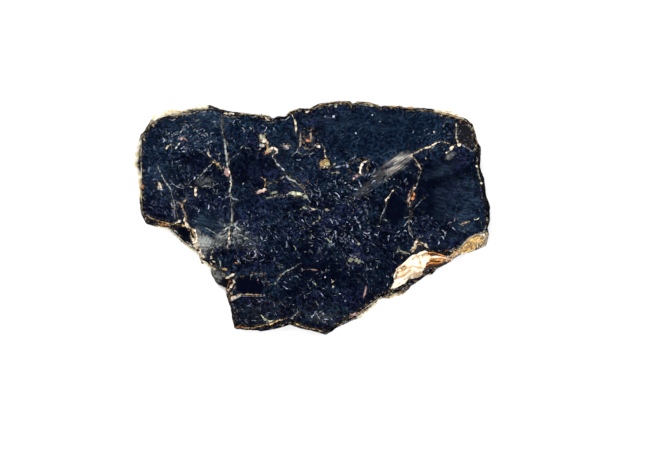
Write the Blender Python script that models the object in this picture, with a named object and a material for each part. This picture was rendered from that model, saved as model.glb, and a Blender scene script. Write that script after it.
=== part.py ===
"""Biotite mica specimen: one broken "book" of cleavage sheets lying flat on its underside.

+Z is up, +X runs along the longest side, and the origin is the centre of the bounding box's bottom.
The book is lofted from the rings of its sheet bundles. Then the places where upper sheets have
broken away are cut down to the sheet that is left, cracks are cut into the cleavage face, and the
pale lumps and splayed sheets of the broken lower-right margin are joined on.
Plan points are (x, y) pairs in millimetres.
"""

import math

import bmesh
import bpy
from mathutils import Matrix, Vector, noise

MM = 0.001

# Driving dimensions, in millimetres.
THICKNESS = 8.0
BUNDLES = 10  # sheet bundles that show as separate bands in the broken edge
BUNDLE_STEP = 0.06  # rise of the narrow shelf from one bundle to the next
BATTER = 0.45  # how far the edge leans in from the widest bundle to the top
RAGGED = 0.55  # deepest bite of one bundle's edge
RAGGED_WAVE = 3.2  # length of such a bite along the edge
PATCH_RAGGED = 0.5  # the same, for a sheet's edge round a patch of missing sheets
WIDEST_BUNDLE = 1  # this bundle keeps the full outline
STATION_GAP = 2.4  # longest straight stretch between two points of a ring
SHEET_STEPS = 6  # stretches along a splayed sheet
CRACK_WIDTH = 0.42
CRACK_DEPTH = 0.45
ABOVE = THICKNESS + 4.0  # cutters end here, clear of the book

BIOTITE_BLACK = (0.012, 0.018, 0.034, 1.0)

# The outline of the widest bundle, clockwise from the left end, as (x, y, shelf). The shelf is how
# far the other bundles are set back from it: there the widest one juts out as a thin flake.
OUTLINE = [
    (-44.75, 13.5, 1.5), (-44.5, 16.5, 1.3), (-43.25, 21.0, 0.3), (-41.25, 23.5, 0.3),
    (-39.75, 26.0, 1.1), (-38.0, 25.75, 0.2), (-36.75, 27.5, 1.6), (-35.0, 27.75, 2.0),
    (-33.0, 27.0, 0.8), (-30.0, 27.75, 1.2), (-28.0, 28.5, 1.1), (-25.75, 28.5, 0.8),
    (-23.0, 27.5, 0.2), (-20.0, 26.75, 0.0), (-15.0, 26.25, 0.0), (-11.0, 26.0, 0.0),
    (-9.75, 25.25, 0.0), (-8.5, 25.75, 0.2), (-6.75, 25.5, 0.0), (-5.75, 27.0, 0.1),
    (-3.25, 27.75, 0.1), (-0.75, 27.5, 0.0), (1.5, 28.75, 0.1), (6.0, 29.5, 0.1),
    (9.5, 29.5, 0.1), (10.25, 28.75, 0.2), (11.5, 29.25, 0.1), (14.0, 29.25, 0.2),
    (17.0, 28.25, 0.1), (22.25, 28.25, 0.0), (23.25, 27.75, 0.0), (28.0, 27.75, 0.2),
    (32.0, 27.25, 0.7), (35.0, 27.0, 1.2), (38.5, 25.25, 0.3), (40.5, 23.5, 0.2),
    (41.25, 20.75, 0.1), (41.5, 19.25, 0.0), (42.5, 17.75, 0.2), (42.25, 12.75, 0.0),
    (43.25, 10.0, 0.2), (43.75, 6.0, 0.1), (44.75, 3.0, 0.1), (44.75, -0.75, 0.0),
    (44.25, -2.5, 0.0), (44.5, -4.25, 0.1), (43.75, -7.0, 0.2), (41.5, -8.0, 0.1),
    (39.5, -8.5, 0.1), (34.75, -11.0, 0.2), (32.0, -12.5, 0.0), (30.25, -14.25, 0.2),
    (29.0, -14.25, 0.1), (25.25, -17.0, 0.3), (23.5, -18.75, 0.6), (19.75, -20.25, 0.4),
    (17.75, -20.25, 0.7), (15.0, -22.75, 0.8), (12.25, -25.0, 0.8), (9.5, -26.0, 0.5),
    (6.0, -28.0, 0.3), (3.5, -29.5, 0.4), (0.5, -28.5, 0.2), (-3.25, -27.75, 0.4),
    (-5.5, -27.0, 0.2), (-8.5, -27.75, 0.6), (-12.5, -28.5, 0.7), (-16.5, -28.25, 0.5),
    (-19.75, -27.75, 0.2), (-20.5, -23.0, 0.1), (-21.75, -18.75, 0.1), (-21.5, -17.75, 0.0),
    (-24.0, -16.5, 0.0), (-25.25, -14.5, 0.2), (-25.5, -12.75, 0.0), (-26.25, -11.75, 0.1),
    (-28.0, -11.0, 0.3), (-28.75, -8.75, 0.0), (-30.75, -7.75, 0.1), (-33.5, -5.25, 0.2),
    (-36.25, -2.75, 0.1), (-39.25, -2.25, 0.0), (-41.75, -1.5, 0.1), (-43.25, 1.5, 0.3),
    (-43.5, 7.0, 0.4), (-44.0, 11.5, 0.9),
]

# Where upper sheets are gone: name, height of the sheet that is left, and the patch in plan.
# A patch at the rim runs on past the outline.
MISSING_SHEETS = [
    ("right_terrace", 7.45, [
        (25.0, 16.0), (27.0, 17.0), (30.0, 17.75), (32.25, 19.25), (34.25, 18.5),
        (36.25, 18.5), (37.75, 18.25), (39.5, 17.25), (45.0, 17.5), (47.0, -10.5),
        (32.0, -16.0), (29.5, -11.0), (28.75, -7.5), (26.5, -5.75), (25.5, -4.75),
        (24.5, -3.25), (24.25, -1.0), (24.75, 1.0), (24.5, 3.0), (23.75, 4.5),
        (24.5, 5.75), (25.75, 7.5), (26.5, 9.5), (27.0, 11.25), (27.5, 12.5),
        (26.25, 13.75), (25.25, 15.5),
    ]),
    ("corner_block", 7.75, [
        (36.0, 24.0), (37.25, 24.25), (39.5, 24.9), (43.0, 25.5), (43.5, 18.0),
        (39.5, 17.25), (37.75, 18.25), (36.25, 18.5),
    ]),
    ("top_slot", 6.9, [
        (-22.5, 26.0), (-21.5, 25.5), (-19.0, 25.5), (-17.0, 25.8), (-15.5, 25.6),
        (-15.0, 28.0), (-22.5, 29.0),
    ]),
    ("top_chip", 6.5, [
        (-13.25, 26.75), (-12.5, 25.0), (-10.5, 23.9), (-9.5, 23.5), (-10.0, 24.75),
        (-9.25, 25.5), (-9.5, 27.5), (-13.0, 27.5),
    ]),
    ("top_strip", 7.3, [
        (0.0, 27.5), (2.5, 28.0), (6.0, 28.6), (9.5, 28.5), (9.5, 31.0), (-1.0, 31.0),
    ]),
    ("top_notch", 6.2, [
        (9.5, 27.9), (10.2, 27.2), (10.9, 27.9), (11.2, 30.5), (9.4, 30.5),
    ]),
    ("right_rim", 4.1, [
        (40.25, 22.0), (40.5, 19.5), (41.0, 17.0), (41.5, 15.0), (41.5, 12.0),
        (42.0, 10.0), (42.5, 8.0), (42.75, 5.75), (43.25, 3.25), (43.5, 0.75),
        (43.75, -1.0), (44.0, -3.0), (47.0, -3.0), (47.0, 24.0), (41.0, 24.0),
    ]),
    ("margin_upper_step", 6.5, [
        (47.0, -3.5), (42.5, -3.75), (41.0, -4.25), (39.5, -5.25), (38.5, -6.25),
        (37.25, -7.5), (35.75, -8.0), (34.0, -8.75), (32.0, -8.5), (30.5, -8.25),
        (29.25, -8.5), (27.5, -8.75), (28.0, -22.0), (47.0, -15.0),
    ]),
    ("margin_middle_step", 5.1, [
        (47.0, -5.0), (43.5, -5.0), (41.5, -5.6), (40.0, -6.75), (38.75, -7.75),
        (37.0, -8.6), (35.0, -9.4), (32.5, -9.6), (30.5, -9.75), (29.0, -10.0),
        (28.5, -22.0), (47.0, -15.0),
    ]),
    ("pale_hollow", 4.6, [
        (29.25, -8.5), (27.5, -8.75), (25.75, -9.75), (24.0, -11.0), (22.75, -12.0),
        (21.25, -12.75), (20.75, -14.25), (20.5, -15.75), (19.75, -17.5), (18.75, -19.0),
        (17.5, -19.9), (17.5, -23.0), (31.0, -22.0), (31.5, -11.0),
    ]),
    ("margin_lower_ledge", 2.7, [
        (19.0, -18.4), (21.25, -17.25), (23.0, -16.75), (24.25, -15.75), (25.25, -15.0),
        (27.0, -14.5), (28.25, -13.5), (30.0, -12.5), (31.5, -11.9), (33.25, -11.1),
        (35.0, -10.1), (37.5, -8.9), (39.5, -8.0), (43.0, -7.0), (47.0, -9.0),
        (31.0, -24.0), (17.0, -24.0), (17.5, -19.6),
    ]),
    ("bottom_right_ledge", 3.6, [
        (12.25, -23.6), (10.0, -24.1), (9.0, -25.0), (7.5, -26.4), (6.0, -27.5),
        (6.0, -30.0), (14.0, -27.0),
    ]),
    ("bottom_ledge", 5.7, [
        (-14.5, -27.5), (-12.5, -26.9), (-10.5, -26.5), (-9.0, -26.0), (-6.0, -25.25),
        (-5.25, -25.75), (-4.25, -26.5), (-3.0, -27.1), (-0.5, -27.6), (3.0, -28.6),
        (3.0, -31.0), (-14.5, -31.0),
    ]),
    ("bottom_left_block", 7.7, [
        (-24.0, -20.75), (-20.25, -20.25), (-19.0, -19.75), (-18.0, -19.0),
        (-12.5, -19.0), (-9.0, -20.25), (-5.5, -22.0), (-3.0, -23.0), (-5.0, -25.25),
        (-9.0, -25.9), (-14.0, -27.0), (-14.0, -31.0), (-24.0, -31.0),
    ]),
    ("dark_patch", 7.5, [
        (-20.0, -15.5), (-19.25, -15.0), (-16.75, -14.75), (-14.0, -13.75),
        (-12.5, -14.25), (-11.75, -15.5), (-11.0, -17.25), (-11.5, -18.75),
        (-12.5, -19.2), (-18.0, -19.2), (-19.0, -19.9), (-20.25, -20.4),
        (-23.0, -20.4), (-23.0, -18.0), (-20.6, -17.4),
    ]),
    ("round_lobe", 3.1, [
        (-27.0, -12.2), (-24.6, -12.1), (-24.0, -12.75), (-22.5, -13.0), (-22.25, -14.5),
        (-21.5, -15.25), (-20.75, -15.75), (-20.9, -16.75), (-21.5, -17.9),
        (-22.0, -20.0), (-29.0, -17.0),
    ]),
    ("crumbled_block", 6.6, [
        (-30.5, -8.2), (-27.75, -7.6), (-26.5, -7.5), (-25.25, -8.0), (-25.25, -10.0),
        (-24.75, -12.0), (-26.0, -13.5), (-31.0, -13.0),
    ]),
    ("triangle_ledge", 4.4, [
        (-37.0, -2.4), (-34.5, -2.0), (-32.75, -2.0), (-31.1, -2.4), (-30.5, -3.75),
        (-30.0, -5.5), (-29.5, -7.0), (-28.9, -8.4), (-29.5, -11.0), (-38.0, -5.0),
    ]),
    ("left_ledge", 6.2, [
        (-45.0, 1.2), (-42.0, 0.5), (-40.5, -0.1), (-38.5, -0.7), (-36.5, -1.25),
        (-34.75, -1.4), (-33.9, -1.8), (-35.0, -2.6), (-36.0, -5.0), (-46.0, -4.0),
    ]),
    ("left_terrace", 7.78, [
        (-22.6, 28.0), (-22.5, 24.5), (-22.75, 22.5), (-22.25, 20.5), (-21.75, 19.0),
        (-21.4, 14.5), (-20.5, 10.5), (-20.25, 9.0), (-20.6, 5.5), (-20.0, 1.25),
        (-20.1, -0.75), (-20.75, -2.5), (-20.25, -4.75), (-21.5, -6.25), (-23.5, -6.5),
        (-25.0, -7.75), (-27.5, -7.5), (-30.0, -9.5), (-47.0, -9.5), (-47.0, 29.5),
    ]),
    ("left_wedge", 7.5, [
        (-39.25, 8.75), (-38.5, 9.25), (-37.75, 8.5), (-37.0, 7.25), (-38.0, 7.0),
        (-39.0, 7.75),
    ]),
    ("corner_sliver", 7.55, [
        (-34.5, 4.5), (-32.5, 3.0), (-31.7, 0.5), (-31.4, -2.0), (-33.5, -1.6), (-34.2, 1.5),
    ]),
    ("pale_pit", 7.6, [
        (-13.25, 20.75), (-12.0, 21.25), (-11.25, 20.0), (-11.4, 18.5), (-12.5, 18.25),
        (-13.5, 19.5),
    ]),
    ("block_pit", 7.65, [
        (-7.4, 18.5), (-5.6, 18.75), (-5.4, 17.75), (-7.0, 17.4),
    ]),
    ("tan_pit", 7.6, [
        (-2.2, 21.6), (-0.25, 22.1), (1.0, 20.75), (0.75, 18.25), (-0.25, 17.4),
        (-1.9, 18.25), (-2.6, 20.0),
    ]),
    ("ochre_pit", 7.55, [
        (2.25, 14.75), (4.0, 14.5), (4.4, 13.25), (3.75, 12.25), (2.25, 12.5), (1.75, 13.75),
    ]),
    ("centre_flake", 7.72, [
        (-6.5, 10.75), (-4.0, 9.25), (-1.75, 6.5), (-2.75, 5.5), (-5.25, 6.25),
        (-8.25, 5.5), (-11.5, 6.5), (-10.75, 8.5), (-8.25, 9.25),
    ]),
    ("right_flake", 7.7, [
        (9.25, 13.25), (12.5, 15.0), (14.0, 14.0), (13.75, 12.0), (11.25, 10.75), (9.0, 11.5),
    ]),
]

# Chips out of the underside: name, depth, patch in plan.
UNDERSIDE_CHIPS = [
    ("underside_left_chip", 0.55, [
        (-46.0, 10.0), (-38.0, 9.0), (-33.5, 12.5), (-34.5, 17.0), (-30.0, 21.5),
        (-31.0, 30.0), (-46.0, 30.0),
    ]),
    ("underside_lower_chip", 0.4, [
        (-8.0, -31.0), (-5.5, -23.0), (0.5, -20.5), (6.0, -22.0), (9.5, -18.0),
        (15.0, -17.5), (16.0, -31.0),
    ]),
]

# Open cracks in the cleavage face, as paths in plan.
CRACKS = {
    "long_crack": [
        (-22.75, 26.6), (-22.5, 24.5), (-22.75, 22.5), (-22.25, 20.5), (-21.75, 19.0),
        (-21.4, 14.5), (-20.5, 10.5), (-20.25, 9.0), (-20.6, 5.5), (-20.0, 1.25),
        (-20.1, -0.75), (-20.75, -2.5),
    ],
    "left_crack": [
        (-39.0, 13.75), (-38.25, 11.75), (-37.25, 9.5), (-35.25, 6.25), (-34.5, 4.0),
        (-34.5, 1.5), (-34.0, -0.25),
    ],
    "corner_crack": [
        (-31.0, 5.0), (-32.0, 3.75), (-32.5, 2.75), (-31.5, 0.5), (-31.25, -1.5),
        (-30.25, -2.6), (-29.0, -4.25), (-28.5, -6.25), (-28.4, -8.0),
    ],
    "top_crack": [
        (-5.6, 27.2), (-4.75, 25.25), (-4.4, 23.75), (-4.0, 20.5),
    ],
    "zigzag_crack": [
        (-11.0, 20.0), (-11.25, 18.25), (-11.0, 17.0), (-9.0, 17.25), (-10.0, 15.25),
        (-8.5, 13.25), (-7.25, 12.25), (-6.5, 10.75), (-5.75, 9.75), (-4.0, 9.25),
        (-2.0, 6.75), (-2.75, 5.9), (-5.0, 6.25),
    ],
    "short_crack": [
        (20.25, 7.0), (19.5, 5.5), (18.5, 4.5), (18.0, 2.25), (16.5, -1.25),
    ],
    "corner_block_crack": [
        (36.1, 23.75), (36.25, 21.0), (36.4, 18.2),
    ],
}

# Pale blocky lumps in the hollow of the lower-right margin: centre, half sizes and turn in degrees.
PALE_LUMPS = [
    ((22.6, -15.0, 5.2), (3.2, 1.75, 1.7), 52),
    ((24.9, -12.7, 5.6), (2.9, 1.9, 1.75), 38),
    ((27.3, -11.2, 5.5), (2.5, 1.9, 1.7), 15),
    ((20.9, -17.2, 4.7), (1.9, 1.1, 1.2), 55),
    ((26.6, -13.4, 4.6), (2.1, 1.1, 1.2), 30),
]
LUMP_CORNERS = 26

# Sheets splayed out of the same margin: hinge line, reach and rise of the free edge, thickness.
SPLAYED_SHEETS = [
    ((29.4, -8.6, 6.3), (34.6, -9.0, 6.3), (-0.6, -2.4), 0.5, 0.34),
    ((29.0, -10.2, 5.0), (35.4, -9.6, 4.9), (-0.4, -2.0), 0.75, 0.36),
    ((36.4, -8.2, 5.0), (41.8, -5.2, 5.0), (0.9, -1.8), 0.55, 0.34),
    ((39.2, -6.0, 6.35), (43.4, -4.0, 6.35), (0.5, -1.6), 0.45, 0.32),
    ((21.0, -17.2, 2.6), (27.4, -14.0, 2.6), (0.9, -1.7), 0.6, 0.34),
]


def clear_scene():
    for obj in list(bpy.data.objects):
        bpy.data.objects.remove(obj)


def hash_noise(a, b, c=0.0):
    """Smooth repeatable noise from 0 to 1."""
    return 0.5 + 0.5 * max(-1.0, min(1.0, 1.6 * noise.noise(Vector((a, b, c)))))


def new_object(name, bm):
    mesh = bpy.data.meshes.new(name)
    bm.to_mesh(mesh)
    bm.free()
    obj = bpy.data.objects.new(name, mesh)
    bpy.context.scene.collection.objects.link(obj)
    return obj


def stations(outline):
    """A closed outline of tuples with no stretch longer than STATION_GAP, as vectors, and each
    point's distance along it."""
    points, along, travelled = [], [], 0.0
    for here, after in zip(outline, outline[1:] + outline[:1]):
        here, after = Vector(here), Vector(after)
        length = (after.to_2d() - here.to_2d()).length
        steps = max(1, math.ceil(length / STATION_GAP))
        for step in range(steps):
            points.append(here.lerp(after, step / steps))
            along.append(travelled + length * step / steps)
        travelled += length
    return points, along


def inward_normals(points):
    """Unit vectors into a clockwise ring."""
    normals = []
    for i, _ in enumerate(points):
        chord = points[(i + 1) % len(points)].to_2d() - points[i - 1].to_2d()
        normals.append(Vector((chord.y, -chord.x)).normalized())
    return normals


def bundle_tops():
    """Top height of each bundle, thin and thick ones mixed."""
    parts = [0.7 + 0.6 * hash_noise(3.7 * k, 0.5) for k in range(BUNDLES)]
    tops, height = [], 0.0
    for part in parts:
        height += part * THICKNESS / sum(parts)
        tops.append(height)
    return tops


def bundle_inset(k, top, along, shelf):
    """How far the edge of bundle k lies inside the outline."""
    if k == WIDEST_BUNDLE:
        return 0.0
    bite = hash_noise(along / RAGGED_WAVE, 11.3 * k) ** 1.6
    return shelf + BATTER * top / THICKNESS + RAGGED * bite


def loft(name, rings):
    """A closed solid through rings of (x, y, z) points that match one to one."""
    bm = bmesh.new()
    loops = [[bm.verts.new(Vector(p) * MM) for p in ring] for ring in rings]
    count = len(loops[0])
    for lower, upper in zip(loops, loops[1:]):
        for i in range(count):
            j = (i + 1) % count
            bm.faces.new((lower[i], lower[j], upper[j], upper[i]))
    bm.faces.new(loops[0])
    bm.faces.new(loops[-1])
    bmesh.ops.recalc_face_normals(bm, faces=bm.faces)
    return new_object(name, bm)


def bundle_rings(points, normals, floors, tops, insets):
    """Two rings for each bundle: its edge stands upright between them."""
    rings = []
    for k, (floor, top) in enumerate(zip(floors, tops)):
        ring = [p.to_2d() + n * inset for p, n, inset in zip(points, normals, insets[k])]
        rings.append([(p.x, p.y, floor) for p in ring])
        rings.append([(p.x, p.y, top) for p in ring])
    return rings


def book_of_sheets():
    """The whole book as one closed loft through the rings of its bundles."""
    points, along = stations(OUTLINE)
    tops = bundle_tops()
    floors = [0.0] + [top + BUNDLE_STEP for top in tops[:-1]]
    insets = [
        [bundle_inset(k, top, s, p.z) for p, s in zip(points, along)]
        for k, top in enumerate(tops)
    ]
    rings = bundle_rings(points, inward_normals(points), floors, tops, insets)
    return loft("biotite_book", rings)


def missing_sheets(name, floor, plan):
    """What is gone above floor over a plan. Each bundle it went through has its own ragged edge."""
    points, along = stations(plan)
    tops = [top for top in bundle_tops()[:-1] if top > floor + 0.3] + [ABOVE]
    floors = [floor] + [top + BUNDLE_STEP for top in tops[:-1]]
    insets = [
        [PATCH_RAGGED * (0.3 - hash_noise(s / RAGGED_WAVE, top)) * (k > 0) for s in along]
        for k, top in enumerate(tops)
    ]
    return loft(name, bundle_rings(points, inward_normals(points), floors, tops, insets))


def prism(name, plan, low, high):
    """An upright prism over a plan."""
    return loft(name, [[(x, y, z) for x, y in plan] for z in (low, high)])


def as_helper(obj, collection):
    """Keeps obj as a Boolean operand that isn't part of the specimen."""
    bpy.context.scene.collection.objects.unlink(obj)
    collection.objects.link(obj)
    obj.hide_render = True
    obj.display_type = "WIRE"


def crack_plan(path):
    """A crack's plan: its path widened, with pointed ends."""
    path = [Vector(p) for p in path]
    sides = []
    for before, here, after in zip(path, path[1:], path[2:]):
        along = (after - before).normalized()
        half = 0.5 * CRACK_WIDTH * (0.7 + 0.6 * hash_noise(here.x, here.y))
        sides.append((here, Vector((-along.y, along.x)) * half))
    left = [p + n for p, n in sides]
    right = [p - n for p, n in reversed(sides)]
    return [path[0], *left, path[-1], *right]


def pale_lump(name, centre, half, turn):
    """A flat-faced lump: the hull of points spread over an ellipsoid."""
    bm = bmesh.new()
    golden_turn = math.pi * (3 - math.sqrt(5))
    for i in range(LUMP_CORNERS):
        height = 1 - 2 * (i + 0.5) / LUMP_CORNERS
        reach = math.sqrt(1 - height * height)
        angle = i * golden_turn
        swell = 0.86 + 0.28 * hash_noise(2.3 * i, centre[0])
        corner = (reach * math.cos(angle), reach * math.sin(angle), height)
        bm.verts.new([c * h * swell * MM for c, h in zip(corner, half)])
    hull = bmesh.ops.convex_hull(bm, input=bm.verts)
    inside = [v for v in hull["geom_interior"] if isinstance(v, bmesh.types.BMVert)]
    bmesh.ops.delete(bm, geom=inside, context="VERTS")
    bm.transform(Matrix.Translation(Vector(centre) * MM) @ Matrix.Rotation(math.radians(turn), 4, "Z"))
    bmesh.ops.recalc_face_normals(bm, faces=bm.faces)
    return new_object(name, bm)


def splayed_sheet(name, start, end, reach, rise, thick):
    """A thin sheet that leaves the book at a hinge line and bends up to a ragged free edge."""
    start, end = Vector(start), Vector(end)
    outward = Vector((*reach, 0.0))
    lift = Vector((0, 0, thick))
    rings = []
    for i in range(SHEET_STEPS + 1):
        t = i / SHEET_STEPS
        hinge = start.lerp(end, t)
        ragged = (0.62 + 0.5 * hash_noise(1.9 * i, start.x)) * (1.0 - 0.5 * abs(2 * t - 1) ** 3)
        root = hinge - 0.5 * outward  # buried in the book
        edge = hinge + (outward + Vector((0, 0, rise))) * ragged
        rings.append([root, hinge, edge, edge + lift, hinge + lift, root + lift])
    return loft(name, rings)


def boolean(obj, operation, collection):
    modifier = obj.modifiers.new(collection.name, "BOOLEAN")
    modifier.operation = operation
    modifier.operand_type = "COLLECTION"
    modifier.collection = collection
    modifier.solver = "EXACT"


def helper_collection(name):
    collection = bpy.data.collections.new(name)
    bpy.context.scene.collection.children.link(collection)
    return collection


def cut_patches(book):
    cutters = helper_collection("missing_sheets")
    for name, floor, plan in MISSING_SHEETS:
        as_helper(missing_sheets(name, floor, plan), cutters)
    for name, depth, plan in UNDERSIDE_CHIPS:
        as_helper(prism(name, plan, -1.0, depth), cutters)
    boolean(book, "DIFFERENCE", cutters)


def cut_cracks(book):
    cutters = helper_collection("cracks")
    for name, path in CRACKS.items():
        as_helper(prism(name, crack_plan(path), THICKNESS - CRACK_DEPTH, ABOVE), cutters)
    boolean(book, "DIFFERENCE", cutters)


def join_margin(book):
    added = helper_collection("margin")
    for i, lump in enumerate(PALE_LUMPS):
        as_helper(pale_lump(f"pale_lump_{i}", *lump), added)
    for i, sheet in enumerate(SPLAYED_SHEETS):
        as_helper(splayed_sheet(f"splayed_sheet_{i}", *sheet), added)
    boolean(book, "UNION", added)


def biotite():
    material = bpy.data.materials.new("biotite")
    material.use_nodes = True
    shader = material.node_tree.nodes["Principled BSDF"]
    shader.inputs["Base Color"].default_value = BIOTITE_BLACK
    shader.inputs["Roughness"].default_value = 0.3
    shader.inputs["Metallic"].default_value = 0.0
    return material


def main():
    clear_scene()
    book = book_of_sheets()
    book.data.materials.append(biotite())
    cut_patches(book)
    cut_cracks(book)
    join_margin(book)


main()
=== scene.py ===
"""Looks of the biotite specimen: thin mica sheets, golden broken edges and a pale weathered pocket.

The CAD book is replaced by a stack of thin sheets sliced from it, under a fine skin on every surface
that faces up. The veins, flecks, splayed sheets and the pale pocket all lie on that stack. Plan
points are (x, y) in millimetres in the CAD's frame, and every height is found on the stack itself.
"""

import math
from functools import reduce

import bpy
import numpy as np
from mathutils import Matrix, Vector
from mathutils.bvhtree import BVHTree
from mathutils.geometry import delaunay_2d_cdt


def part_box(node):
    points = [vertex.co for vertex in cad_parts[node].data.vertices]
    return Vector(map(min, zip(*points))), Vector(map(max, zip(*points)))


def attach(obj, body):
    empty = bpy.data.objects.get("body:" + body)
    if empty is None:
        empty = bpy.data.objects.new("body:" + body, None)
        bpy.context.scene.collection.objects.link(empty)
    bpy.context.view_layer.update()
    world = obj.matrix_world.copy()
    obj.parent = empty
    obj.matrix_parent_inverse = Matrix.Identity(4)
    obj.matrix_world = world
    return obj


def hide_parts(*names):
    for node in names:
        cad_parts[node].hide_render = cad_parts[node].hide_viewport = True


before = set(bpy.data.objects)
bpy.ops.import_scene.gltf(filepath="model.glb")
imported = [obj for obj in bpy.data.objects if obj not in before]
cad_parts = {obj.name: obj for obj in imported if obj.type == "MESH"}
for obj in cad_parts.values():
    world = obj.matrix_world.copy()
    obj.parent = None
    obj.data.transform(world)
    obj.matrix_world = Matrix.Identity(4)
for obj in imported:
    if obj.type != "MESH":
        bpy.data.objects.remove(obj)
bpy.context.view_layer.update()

MM = 0.001
BOOK = "biotite_book"

# The stack of sheets.
SHEETS = 54
SHEET_FILL = 0.86  # how much of its share of the height a sheet fills: the rest is an open parting
STACK_TOP = 7.84  # top of the stack, a little under the CAD's so that skin and flakes stay within it
SMALLEST_SCRAP = 0.15  # area of a sheet's smallest piece, in square millimetres
WIDEST_AT = (0.8, 1.0, 1.2, 1.4)  # heights at which the book is widest
OUTLINE_STEP = 1.5  # spacing of the points along its widest outline
EDGE_STEP = 0.42  # spacing of the points along a sheet's edge
EDGE_COARSE = 0.34  # deepest slow bite into an edge
EDGE_FINE = 0.16  # deepest fine bite
# Light coming through thin rims is painted into their colour.
THIN_BELOW = 2.4  # light comes through the rim only where the book is thinner than this
MARGIN_FLOOR = (4.5, 6.5)  # heights between which the margin's edge turns golden

# The skin on the surfaces that face up.
SKIN_STEP = 0.25
SKIN_LIFT = 0.02
RELIEF = 0.03
NUDGE = 0.3  # how far a grid point wanders, in steps
CLIFF = 0.2  # a rise across one cell that counts as a sheet's edge and is left open
CRACK_SHOWS = 0.02  # depth left of a narrow crack under its crumbled filling
RIM_FADE = (3.0, 1.4)  # distances from the outline at which its light has gone and is full
BORDER = 0.93  # middle of an ellipse's soft border, as a share of its radius
CRISP, SOFT, SOFTEST = 0.45, 1.0, 1.3  # widths of such a border, in the same way

# Ribbons, and the skins that fill the pocket and the golden margin.
RIBBON_STEP = 0.16
RIBBON_RISE = 0.07
RIBBON_SINK = 0.01  # how far a ribbon's edges lie in the stone
RIBBON_DROP = 0.4  # a fall between two points of a ribbon at which it breaks off
BRIGHTEST = 0.95  # no channel of a ribbon's colour goes above this
CHIP_TURN = 6.28  # chips are turned by up to this many radians
FLECK_SEED = 14
FLECK_PARTS = 4  # straight parts of a fleck's bent path
FLECK_RISE = 0.04
FLECK_HUES = ["ice"] * 7 + ["lilac"] * 2 + ["olive"]
FAN_STEP = 0.12
FAN_GAP = 0.05  # how far the splayed sheets lie above the stone and each other
FAN_WIDTH = 0.17
FAN_LIFTS = (-0.02, 0.06, -0.15)  # of a splayed sheet's left edge, crest and right edge
FAN_TOP = STACK_TOP + 0.08
FILLING_STEP = 0.14
FILLING_TOP = STACK_TOP + 0.1
FILLING_FROM = 0.12  # how far inside its outline, from 0 to 1, a filling begins
SKIRT = 1.2  # how far its border dips into the stone
POCKET_ROUNDS, MARGIN_ROUNDS = 6, 16  # how often the heights under them are smoothed
POCKET_CLIFF, MARGIN_CLIFF = 9.0, 1.3  # the pocket's skin runs down its steps unbroken

# The studio: lengths in metres, angles in degrees.
FLOOR_REACH = 4.0
LAMPS = (("key", 125, 12), ("fill", -40, 9), ("side", 220, 7), ("rim", 40, 6))  # azimuth and power
LAMP_ELEVATION, LAMP_AWAY, LAMP_SIZE = 56, 1.2, 0.6
SKY = (  # height above the horizon and colour there
    (0.04, (1.0, 1.0, 1.0)),
    (0.16, (0.36, 0.36, 0.3708)),
    (0.40, (0.16, 0.16, 0.1648)),
    (0.75, (0.008, 0.009, 0.012)),
)
CAMERA_AWAY, BOOK_TOP = 1.5, 0.008
FRAME_WIDTH = 0.1625  # what the photograph's width spans at the book's top
FRAME_CENTRE = (0.00325, -0.001625)
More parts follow.
